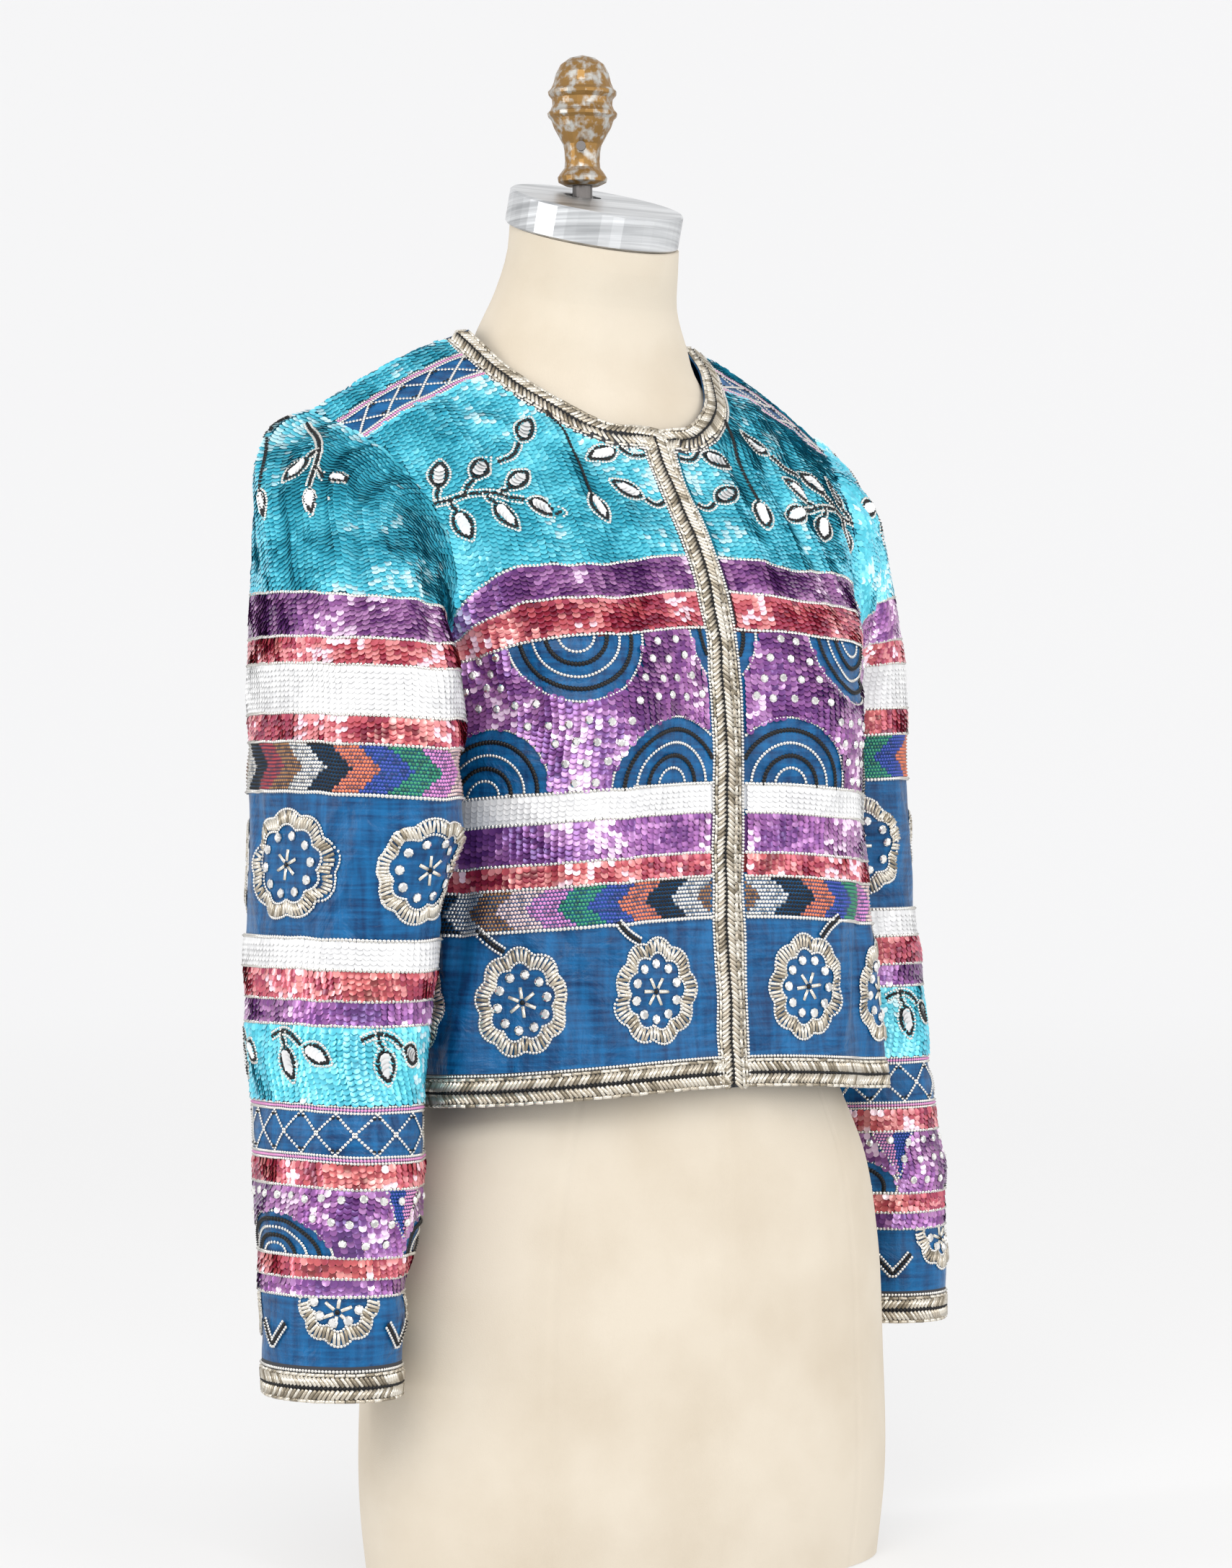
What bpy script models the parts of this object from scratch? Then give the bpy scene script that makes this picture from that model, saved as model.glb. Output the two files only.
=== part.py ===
"""A short beaded jacket worn on a limbless dress form.

Metres, +Z up. The origin is on the form's flat underside, the front faces -Y and the wearer's
right side is -X. Every piece of cloth is a wall whose inner points are its outer points moved in.
"""

import math

import bmesh
import bpy
import numpy as np

# Driving dimensions of the cloth, in metres
WALL = 0.0020  # cloth with its lining of sewn sequins
TRIM_RISE = 0.0012  # how far the laid bead border stands above the wall
TRIM_WIDTH = 0.019
SEAM_GAP = 0.0003  # between pieces that are sewn together
HEM_Z = 0.300
SIDE_DROP = 0.011  # the hem and the bands lie this much lower at the side seams
UNDERARM_Z = 0.540
FRONT_LAP = 0.006  # the right front's edge passes the centre line by this much
LAP_WIDTH = 0.030  # the lap draws on the cloth over this width
LAP_GAP = 0.0014  # between the two fronts where they lap
LAP_FADE = 0.020  # and the lap fades out along this much of the neckline
ARMHOLE_GAP = 0.0008

# Resolution of the cloth walls
FRONT_COLUMNS = 12
BACK_COLUMNS = 9  # on each side of the centre back
BODY_ROWS = 10  # hem to underarm
YOKE_ROWS = 11  # underarm to shoulder
SLEEVE_COLUMNS = 30
CAP_ROWS = 8
ARM_ROWS = 14

# Sections of the jacket's body, hem to underarm: height, half-width at the side seam, centre of the
# section, front and back surface at the centre line, exponents of the front and back halves
BODY_SECTIONS = (
    dict(z=0.300, side=0.163, centre=0.006, front=-0.104, back=0.104, front_n=2.50, back_n=2.3),
    dict(z=0.350, side=0.160, centre=0.009, front=-0.100, back=0.101, front_n=2.50, back_n=2.3),
    dict(z=0.420, side=0.154, centre=0.014, front=-0.096, back=0.104, front_n=2.45, back_n=2.3),
    dict(z=0.490, side=0.152, centre=0.020, front=-0.095, back=0.114, front_n=2.40, back_n=2.4),
    dict(z=0.540, side=0.153, centre=0.026, front=-0.091, back=0.122, front_n=2.35, back_n=2.5),
)

# Centre front edge above the underarm, then round the neckline to the neck point
FRONT_EDGE = (
    dict(x=0.000, y=-0.0910, z=0.540),
    dict(x=0.000, y=-0.0850, z=0.580),
    dict(x=0.000, y=-0.0740, z=0.612),
    dict(x=0.000, y=-0.0530, z=0.646),
    dict(x=0.000, y=-0.0340, z=0.672),
    dict(x=0.000, y=-0.0200, z=0.694),
    dict(x=0.030, y=-0.0120, z=0.700),
    dict(x=0.057, y=0.0080, z=0.716),
    dict(x=0.073, y=0.0330, z=0.736),
    dict(x=0.081, y=0.0640, z=0.759),
)
CHEST_HOLLOW = 0.018  # how far the cloth above the bust falls in from a straight line
CHEST_TURN = 1.4
BACK_FULLNESS = 0.007
BACK_TURN = 2.5
SHOULDER_CROWN = 0.004
FRONT_NECK_START = 0.52  # share of the yoke rows that lies below the neckline's corner

# Front armhole, underarm to shoulder point
FRONT_ARMHOLE = (
    dict(x=0.153, y=0.0300, z=0.540),
    dict(x=0.149, y=0.0000, z=0.548),
    dict(x=0.147, y=-0.0210, z=0.572),
    dict(x=0.149, y=-0.0290, z=0.602),
    dict(x=0.155, y=-0.0170, z=0.640),
    dict(x=0.163, y=0.0080, z=0.668),
    dict(x=0.176, y=0.0400, z=0.690),
    dict(x=0.189, y=0.0710, z=0.704),
)

# Centre back above the underarm
BACK_EDGE = (
    dict(x=0.000, y=0.1220, z=0.540),
    dict(x=0.000, y=0.1370, z=0.600),
    dict(x=0.000, y=0.1440, z=0.660),
    dict(x=0.000, y=0.1400, z=0.715),
    dict(x=0.000, y=0.1290, z=0.758),
)

# Back neckline, nape to neck point
BACK_NECK = (
    dict(x=0.000, y=0.1290, z=0.758),
    dict(x=0.034, y=0.1230, z=0.760),
    dict(x=0.064, y=0.1020, z=0.762),
    dict(x=0.081, y=0.0640, z=0.759),
)
BACK_NECK_SHARE = 0.45  # share of the back's columns that ends at the neckline

# Back armhole, underarm to shoulder point
BACK_ARMHOLE = (
    dict(x=0.153, y=0.0300, z=0.540),
    dict(x=0.152, y=0.0620, z=0.550),
    dict(x=0.153, y=0.0880, z=0.580),
    dict(x=0.156, y=0.0980, z=0.620),
    dict(x=0.163, y=0.0960, z=0.655),
    dict(x=0.176, y=0.0850, z=0.688),
    dict(x=0.189, y=0.0710, z=0.704),
)

# Soft forms pressed out of the body: height and distance from the centre line of the middle, half
# sizes, and how far the cloth stands out there
FRONT_SWELLS = (
    dict(z=0.530, x=0.082, tall=0.050, wide=0.050, out=0.016),
    dict(z=0.430, x=0.090, tall=0.120, wide=0.044, out=0.009),
)
BACK_SWELLS = (dict(z=0.630, x=0.080, tall=0.060, wide=0.050, out=0.004),)

# Upright folds below the bust and at the back: side (-1 wearer's right), distance from the centre line
# as a share of the panel, width as the same share, depth at the hem, and height at which the fold ends
FRONT_FOLDS = (
    dict(side=1, place=0.62, width=0.070, depth=0.0065, top=0.470),
    dict(side=-1, place=0.80, width=0.080, depth=0.0050, top=0.450),
)
BACK_FOLDS = (
    dict(side=1, place=0.45, width=0.080, depth=0.0055, top=0.480),
    dict(side=-1, place=0.52, width=0.080, depth=0.0045, top=0.460),
)

# Sleeves below the cap: height, centre across and centre in depth, half-width and half-depth
RIGHT_SLEEVE = (
    dict(z=0.528, x=0.2075, y=-0.0080, wide=0.0500, deep=0.0860),
    dict(z=0.485, x=0.2090, y=-0.0120, wide=0.0510, deep=0.0860),
    dict(z=0.440, x=0.2115, y=-0.0100, wide=0.0500, deep=0.0810),
    dict(z=0.380, x=0.2155, y=-0.0055, wide=0.0480, deep=0.0710),
    dict(z=0.320, x=0.2190, y=-0.0060, wide=0.0450, deep=0.0655),
    dict(z=0.255, x=0.2220, y=-0.0140, wide=0.0425, deep=0.0610),
    dict(z=0.200, x=0.2265, y=-0.0170, wide=0.0400, deep=0.0510),
    dict(z=0.160, x=0.2280, y=-0.0165, wide=0.0385, deep=0.0475),
    dict(z=0.126, x=0.2280, y=-0.0170, wide=0.0380, deep=0.0455),
)
LEFT_SLEEVE = (
    dict(z=0.528, x=0.2035, y=0.0780, wide=0.0450, deep=0.0660),
    dict(z=0.485, x=0.2055, y=0.0800, wide=0.0460, deep=0.0660),
    dict(z=0.440, x=0.2085, y=0.0790, wide=0.0460, deep=0.0640),
    dict(z=0.380, x=0.2150, y=0.0760, wide=0.0450, deep=0.0600),
    dict(z=0.320, x=0.2205, y=0.0680, wide=0.0440, deep=0.0560),
    dict(z=0.255, x=0.2255, y=0.0600, wide=0.0425, deep=0.0510),
    dict(z=0.200, x=0.2295, y=0.0520, wide=0.0400, deep=0.0460),
    dict(z=0.160, x=0.2320, y=0.0480, wide=0.0375, deep=0.0420),
    dict(z=0.134, x=0.2320, y=0.0470, wide=0.0370, deep=0.0410),
)

# Creases round the sleeve: height, direction round the arm in degrees (0 outside, 90 front), half
# height, half spread in degrees, and depth (a trough is negative)
SLEEVE_FOLDS = (
    dict(z=0.492, at=150, tall=0.011, spread=60, depth=-0.0040),
    dict(z=0.452, at=120, tall=0.010, spread=75, depth=0.0030),
    dict(z=0.412, at=160, tall=0.010, spread=60, depth=-0.0038),
    dict(z=0.372, at=100, tall=0.011, spread=70, depth=0.0026),
    dict(z=0.300, at=20, tall=0.013, spread=70, depth=-0.0030),
    dict(z=0.232, at=60, tall=0.012, spread=80, depth=0.0024),
    dict(z=0.190, at=120, tall=0.010, spread=70, depth=-0.0026),
)

# Gathers at the top of each sleeve cap
GATHER_COUNT = 7
GATHER_DEPTH = 0.0028
GATHER_SPREAD = 78  # degrees each side of the shoulder
CAP_PUFF = 0.004
RIGHT_CAP_REACH = 0.85  # how strongly a cap leaves the armhole sideways
LEFT_CAP_REACH = 0.45
CAP_FALL = 1.15  # and how strongly it turns down into the arm

# Sections of the form's torso, base to neck: height and forward tilt of the ring, half-width, centre,
# front and back surface, exponent
FORM_SECTIONS = (
    dict(z=0.000, tilt=0, side=0.1750, front=-0.0920, back=0.1100, n=2.1),
    dict(z=0.045, tilt=0, side=0.1800, front=-0.0960, back=0.1140, n=2.1),
    dict(z=0.130, tilt=0, side=0.1790, front=-0.0960, back=0.1150, n=2.1),
    dict(z=0.200, tilt=0, side=0.1740, front=-0.0950, back=0.1120, n=2.1),
    dict(z=0.250, tilt=0, side=0.1620, front=-0.0930, back=0.1020, n=2.1),
    dict(z=0.300, tilt=0, side=0.1380, front=-0.0850, back=0.0880, n=2.1),
    dict(z=0.350, tilt=0, side=0.1240, front=-0.0760, back=0.0850, n=2.1),
    dict(z=0.400, tilt=0, side=0.1270, front=-0.0740, back=0.0920, n=2.1),
    dict(z=0.460, tilt=0, side=0.1370, front=-0.0820, back=0.1030, n=2.1),
    dict(z=0.520, tilt=0, side=0.1450, front=-0.0850, back=0.1130, n=2.1),
    dict(z=0.570, tilt=0, side=0.1420, front=-0.0800, back=0.1220, n=2.1),
    dict(z=0.610, tilt=0, side=0.1380, front=-0.0650, back=0.1290, n=2.1),
    dict(z=0.645, tilt=0, side=0.1390, front=-0.0420, back=0.1320, n=2.1),
    dict(z=0.672, tilt=0, side=0.1400, front=-0.0235, back=0.1320, n=2.0),
    dict(z=0.690, tilt=0, side=0.1350, front=-0.0125, back=0.1270, n=1.9),
    dict(z=0.706, tilt=1, side=0.1170, front=-0.0060, back=0.1240, n=1.8),
    dict(z=0.722, tilt=2, side=0.0930, front=-0.0005, back=0.1200, n=1.8),
    dict(z=0.738, tilt=4, side=0.0785, front=0.0020, back=0.1180, n=1.9),
    dict(z=0.756, tilt=7, side=0.0700, front=0.0030, back=0.1150, n=2.0),
    dict(z=0.780, tilt=11, side=0.0590, front=0.0020, back=0.1060, n=2.0),
    dict(z=0.805, tilt=15, side=0.0535, front=-0.0050, back=0.0980, n=2.0),
    dict(z=0.8195, tilt=17, side=0.0525, front=-0.0075, back=0.0975, n=2.0),
)
FORM_COLUMNS = 36

# Neck cap and finial
CAP_RADIUS = 0.0545
CAP_HEIGHT = 0.0215
CAP_CENTRE = (0.0, 0.0450, 0.8310)
CAP_TILT = 17  # degrees, forward
CAP_EDGE = 0.0012
SLOT_WIDTH = 0.0138
SLOT_LENGTH = 0.0260
FINIAL_Y = 0.0580
FINIAL_Z = 0.8525
STEM_RADIUS = 0.0062
STEM_FOOT_Z = 0.8260
SCREW_Z = 0.8755
SCREW_RADIUS = 0.0030
SCREW_TIP = 0.0160  # how far the set screw's head stands from the finial's axis
SCREW_AZIMUTH = -38  # degrees from the front, towards the wearer's right

# Finial's turned outline, foot to crown: radius and height above its foot
FINIAL_OUTLINE = (
    dict(r=0.0105, h=0.0000),
    dict(r=0.0150, h=0.0022),
    dict(r=0.0155, h=0.0050),
    dict(r=0.0135, h=0.0080),
    dict(r=0.0112, h=0.0110),
    dict(r=0.0108, h=0.0155),
    dict(r=0.0112, h=0.0215),
    dict(r=0.0120, h=0.0255),
    dict(r=0.0150, h=0.0310),
    dict(r=0.0180, h=0.0365),
    dict(r=0.0195, h=0.0410),
    dict(r=0.0215, h=0.0430),
    dict(r=0.0218, h=0.0450),
    dict(r=0.0200, h=0.0470),
    dict(r=0.0187, h=0.0500),
    dict(r=0.0190, h=0.0540),
    dict(r=0.0212, h=0.0565),
    dict(r=0.0215, h=0.0585),
    dict(r=0.0195, h=0.0605),
    dict(r=0.0180, h=0.0640),
    dict(r=0.0165, h=0.0700),
    dict(r=0.0135, h=0.0755),
    dict(r=0.0080, h=0.0795),
)
FINIAL_TOP = 0.0815
FINIAL_SIDES = 24


def clear_scene():
    for thing in list(bpy.data.objects):
        bpy.data.objects.remove(thing, do_unlink=True)


def finish(name, colour, roughness, metallic=0.0):
    material = bpy.data.materials.new(name)
    material.use_nodes = True
    shader = material.node_tree.nodes["Principled BSDF"]
    shader.inputs["Base Color"].default_value = (*colour, 1.0)
    shader.inputs["Roughness"].default_value = roughness
    shader.inputs["Metallic"].default_value = metallic
    return material


def add_object(name, points, faces, material, smooth=True):
    mesh = bpy.data.meshes.new(name)
    mesh.from_pydata([tuple(map(float, p)) for p in points], [], [tuple(map(int, f)) for f in faces])
    shell = bmesh.new()
    shell.from_mesh(mesh)
    bmesh.ops.recalc_face_normals(shell, faces=shell.faces)
    shell.to_mesh(mesh)
    shell.free()
    if smooth:
        mesh.shade_smooth()
        mesh.set_sharp_from_angle(angle=math.radians(40))
    mesh.materials.append(material)
    thing = bpy.data.objects.new(name, mesh)
    bpy.context.scene.collection.objects.link(thing)
    return thing


def curve_through(rows, names, places, at):
    """Smooth values of the named columns: a cubic through the table's rows, which lie at `places`."""
    at = np.asarray(at, float)
    places = np.asarray(places, float)
    values = np.array([[row[name] for name in names] for row in rows], float)
    slopes = np.gradient(values, places, axis=0)
    index = np.clip(np.searchsorted(places, at, side="right") - 1, 0, len(places) - 2)
    step = places[index + 1] - places[index]
    t = ((at - places[index]) / step)[..., None]
    low, high = values[index], values[index + 1]
    rise, fall = slopes[index] * step[..., None], slopes[index + 1] * step[..., None]
    return (
        low * (2 * t**3 - 3 * t**2 + 1)
        + rise * (t**3 - 2 * t**2 + t)
        + high * (3 * t**2 - 2 * t**3)
        + fall * (t**3 - t**2)
    )


def lengths_along(rows):
    """Share of the way along a table of x, y, z rows at each row."""
    points = np.array([[row["x"], row["y"], row["z"]] for row in rows])
    steps = np.linalg.norm(np.diff(points, axis=0), axis=1)
    return np.concatenate([[0.0], np.cumsum(steps)]) / steps.sum()


def body_section(z, front, share):
    """Points of one half of a level section: share 0 at the centre line and 1 at the side seam."""
    names = ("side", "centre", "front" if front else "back", "front_n" if front else "back_n")
    places = [row["z"] for row in BODY_SECTIONS]
    side, centre, face, power = curve_through(BODY_SECTIONS, names, places, z)
    angle = share * math.pi / 2
    x = side * np.abs(np.sin(angle)) ** (2 / power)
    y = centre + (face - centre) * np.abs(np.cos(angle)) ** (2 / power)
    return np.stack([x, y, np.full_like(x, z)], axis=-1)


def even_share(z, front, count):
    """Shares that space `count` + 1 points evenly along a half section."""
    fine = np.linspace(0, 1, 400)
    points = body_section(z, front, fine)
    run = np.concatenate([[0], np.cumsum(np.linalg.norm(np.diff(points, axis=0), axis=1))])
    return np.interp(np.linspace(0, run[-1], count + 1), run, fine)


def ease(t):
    return t * t * (3 - 2 * t)


def swell_out(points, swells, direction):
    """Moves points along Y where a swell stands under them."""
    for row in swells:
        across = (np.abs(points[..., 0]) - row["x"]) / row["wide"]
        up = (points[..., 2] - row["z"]) / row["tall"]
        points[..., 1] += direction * row["out"] * np.exp(-(across**2) - up**2)
    return points


def low_body(front, columns):
    """Rows of one half of the body from hem to underarm."""
    share = np.linspace(0, 1, columns + 1)
    rows = []
    for z in np.linspace(HEM_Z, UNDERARM_Z, BODY_ROWS + 1):
        row = body_section(z, front, even_share(z, front, columns))
        row[:, 2] -= SIDE_DROP * ease(share) * (UNDERARM_Z - z) / (UNDERARM_Z - HEM_Z)
        rows.append(row)
    return rows


def shoulder_line(start, end, count):
    share = np.linspace(0, 1, count)[:, None]
    line = start * (1 - share) + end * share
    line[:, 2] += SHOULDER_CROWN * np.sin(np.pi * share[:, 0])
    return line


def yoke_rows(bottom, top, inner, outer, hollow, turn):
    """Rows between the underarm row and the top line that also follow their two end lines.

    The larger `turn` is, the later the cloth turns in depth towards the top line.
    """
    share = np.linspace(0, 1, len(bottom))[:, None]
    rows = []
    for i, t in enumerate(np.linspace(0, 1, YOKE_ROWS + 1)[1:]):
        blend = ease(t)
        row = bottom * (1 - blend) + top * blend
        row[:, 1] = bottom[:, 1] + (top[:, 1] - bottom[:, 1]) * t**turn
        row = row + (1 - share) * (inner[i] - row[0]) + share * (outer[i] - row[-1])
        row[:, 1] += hollow * np.sin(np.pi * t) ** 1.5 * np.sin(np.pi * share[:, 0])
        rows.append(row)
    return rows


def front_half():
    """Grid of the front for +X: rows run hem to shoulder, columns centre edge to side seam."""
    rows = low_body(True, FRONT_COLUMNS)
    w = np.linspace(0, 1, YOKE_ROWS + 1)[1:]
    places = lengths_along(FRONT_EDGE)
    corner = places[sum(row["x"] == 0 for row in FRONT_EDGE) - 1]
    past = (w - FRONT_NECK_START) / (1 - FRONT_NECK_START)
    along = np.where(past < 0, w / FRONT_NECK_START * corner, corner + past * (1 - corner))
    inner = curve_through(FRONT_EDGE, ("x", "y", "z"), places, along)
    inner[past <= 0, 0] = 0.0
    outer = curve_through(FRONT_ARMHOLE, ("x", "y", "z"), lengths_along(FRONT_ARMHOLE), w)
    top = shoulder_line(inner[-1], outer[-1], FRONT_COLUMNS + 1)
    grid = np.array(rows + yoke_rows(rows[-1], top, inner, outer, CHEST_HOLLOW, CHEST_TURN))
    return swell_out(grid, FRONT_SWELLS, -1)


def back_half():
    """Grid of the back for +X: rows run hem to neckline and shoulder, columns centre to side seam."""
    rows = low_body(False, BACK_COLUMNS)
    w = np.linspace(0, 1, YOKE_ROWS + 1)[1:]
    inner = curve_through(BACK_EDGE, ("x", "y", "z"), lengths_along(BACK_EDGE), w)
    outer = curve_through(BACK_ARMHOLE, ("x", "y", "z"), lengths_along(BACK_ARMHOLE), w)
    at_neck = round(BACK_NECK_SHARE * BACK_COLUMNS)
    share = np.linspace(0, 1, at_neck + 1)
    neck = curve_through(BACK_NECK, ("x", "y", "z"), lengths_along(BACK_NECK), share)
    shoulder = shoulder_line(neck[-1], outer[-1], BACK_COLUMNS - at_neck + 1)
    top = np.concatenate([neck, shoulder[1:]])
    grid = np.array(rows + yoke_rows(rows[-1], top, inner, outer, -BACK_FULLNESS, BACK_TURN))
    return swell_out(grid, BACK_SWELLS, 1)


def outward(grid, closed_columns=False):
    """Unit normals of a grid of points, taken from its rows and columns."""
    if closed_columns:
        across = np.roll(grid, -1, axis=1) - np.roll(grid, 1, axis=1)
    else:
        across = np.gradient(grid, axis=1)
    up = np.gradient(grid, axis=0)
    normal = np.cross(across, up)
    return normal / np.linalg.norm(normal, axis=-1, keepdims=True)


def square_seams(normals, first):
    """Turns the walls square to the side seam and, from column `first` on, to the shoulder seam."""
    normals[: BODY_ROWS + 1, -1, 1] = 0
    normals[-1, first:, 1] = 0
    return normals / np.linalg.norm(normals, axis=-1, keepdims=True)


def add_folds(grid, normals, folds, side):
    """Pushes upright folds into a half-body grid, deepest at the hem."""
    places = np.linspace(0, 1, grid.shape[1])[None, :]
    for row in folds:
        if row["side"] != side:
            continue
        drop = np.clip((row["top"] - grid[..., 2]) / (row["top"] - HEM_Z), 0, 1) ** 1.3
        wave = (places - row["place"]) / row["width"]
        ridge = np.exp(-(wave**2)) - 0.6 * np.exp(-((wave - 1.6) ** 2)) - 0.6 * np.exp(-((wave + 1.6) ** 2))
        grid = grid + normals * (row["depth"] * drop * ridge)[..., None]
    return grid


def wall_faces(rows, columns, closed_columns):
    """Quads of a wall whose outer grid comes first and whose inner grid follows."""
    inner = rows * columns
    faces = []
    wide = columns if closed_columns else columns - 1
    for r in range(rows - 1):
        for c in range(wide):
            d = (c + 1) % columns
            a, b, e, f = r * columns + c, r * columns + d, (r + 1) * columns + d, (r + 1) * columns + c
            faces.append((a, b, e, f))
            faces.append((inner + f, inner + e, inner + b, inner + a))
    for r in (0, rows - 1):
        for c in range(wide):
            d = (c + 1) % columns
            a, b = r * columns + c, r * columns + d
            faces.append((b, a, inner + a, inner + b))
    if not closed_columns:
        for c in (0, columns - 1):
            for r in range(rows - 1):
                a, b = r * columns + c, (r + 1) * columns + c
                faces.append((a, b, inner + b, inner + a))
    return faces


def add_wall(name, grid, normals, material, raised=None, closed_columns=False):
    """A cloth wall: `grid` is its face, and the wall lies behind it."""
    outer = grid if raised is None else grid + normals * raised[..., None]
    inner = grid - normals * WALL
    points = np.concatenate([outer.reshape(-1, 3), inner.reshape(-1, 3)])
    faces = wall_faces(grid.shape[0], grid.shape[1], closed_columns)
    return add_object(name, points, faces, material)


def trim_grid(grid, inner_edge):
    """Moves the lines of points beside the front edge, neckline and hem to the border's inner side."""
    grid = grid.copy()
    hem = grid[0] + (grid[2] - grid[0]) * (TRIM_WIDTH / np.linalg.norm(grid[2] - grid[0], axis=-1))[:, None]
    grid[1] = hem
    if inner_edge:
        span = grid[:, 2] - grid[:, 0]
        grid[:, 1] = grid[:, 0] + span * (TRIM_WIDTH / np.linalg.norm(span, axis=-1))[:, None]
    return grid


def front_panel(side, material):
    """One front. The right one laps over the left one at the centre line."""
    grid = front_half()
    normals = square_seams(outward(grid), 0)
    grid = add_folds(grid, normals, FRONT_FOLDS, side)
    reach = FRONT_LAP if side < 0 else FRONT_LAP - 0.001
    lap = np.clip(1 - grid[:, 0, 0] / LAP_FADE, 0, 1)[:, None]
    near = np.clip(1 - np.linalg.norm(grid - grid[:, :1], axis=-1) / LAP_WIDTH, 0, 1)
    grid[..., 0] -= lap * reach * near
    grid = trim_grid(grid, True)
    raised = np.zeros(grid.shape[:2])
    raised[:, 0] = raised[0] = TRIM_RISE
    if side > 0:
        grid[:, :2] -= normals[:, :2] * (lap * (WALL + LAP_GAP + TRIM_RISE))[..., None]
    grid[:, -1] += seam_step(grid[:, -1], grid[:, -2], SEAM_GAP / 2)
    grid[-1] += seam_step(grid[-1], grid[-2], SEAM_GAP / 2)
    grid[..., 0] *= side
    normals[..., 0] *= side
    name = "front_right" if side < 0 else "front_left"
    return add_wall(name, grid, normals, material, raised)


def seam_step(edge, beside, gap):
    """Step that pulls an edge back from a seam by `gap`."""
    back = beside - edge
    return back / np.linalg.norm(back, axis=-1, keepdims=True) * gap


def back_panel(material):
    half = back_half()
    normals = square_seams(-outward(half), round(BACK_NECK_SHARE * BACK_COLUMNS))
    sides = []
    for side in (-1, 1):
        grid = add_folds(half, normals, BACK_FOLDS, side)
        grid[:, -1] += seam_step(grid[:, -1], grid[:, -2], SEAM_GAP / 2)
        grid[-1] += seam_step(grid[-1], grid[-2], SEAM_GAP / 2)
        rise = grid[2] - grid[0]
        hem = grid[0] + rise * (TRIM_WIDTH / np.linalg.norm(rise, axis=-1))[:, None]
        grid[1] = hem
        grid = grid * np.array([side, 1, 1])
        facing = normals * np.array([side, 1, 1])
        sides.append((grid[:, ::-1], facing[:, ::-1]) if side < 0 else (grid[:, 1:], facing[:, 1:]))
    grid = np.concatenate([sides[0][0], sides[1][0]], axis=1)
    facing = np.concatenate([sides[0][1], sides[1][1]], axis=1)
    raised = np.zeros(grid.shape[:2])
    raised[0] = TRIM_RISE
    return add_wall("back", grid, facing, material, raised)


def armhole_loop(turn):
    """Points of the armhole of the +X side: turn 0 at the shoulder, 0.25 front, 0.5 underarm, 0.75 back."""
    turn = np.asarray(turn) % 1.0
    front_share = 1 - turn / 0.5
    back_share = (turn - 0.5) / 0.5
    names = ("x", "y", "z")
    front = curve_through(FRONT_ARMHOLE, names, lengths_along(FRONT_ARMHOLE), np.clip(front_share, 0, 1))
    back = curve_through(BACK_ARMHOLE, names, lengths_along(BACK_ARMHOLE), np.clip(back_share, 0, 1))
    return np.where((turn <= 0.5)[:, None], front, back)


def sleeve_columns():
    """Turns of the sleeve's columns, closer together over the gathered top of the cap."""
    even = np.arange(SLEEVE_COLUMNS) / SLEEVE_COLUMNS
    return even - 0.55 / (2 * math.pi) * np.sin(2 * math.pi * even)


def sleeve_ring(table, z, turn):
    names = ("x", "y", "wide", "deep")
    places = [row["z"] for row in table][::-1]
    x, y, wide, deep = curve_through(table[::-1], names, places, z)
    angle = turn * 2 * math.pi
    return np.stack([x + wide * np.cos(angle), y - deep * np.sin(angle), np.full_like(angle, z)], axis=-1)


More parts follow.
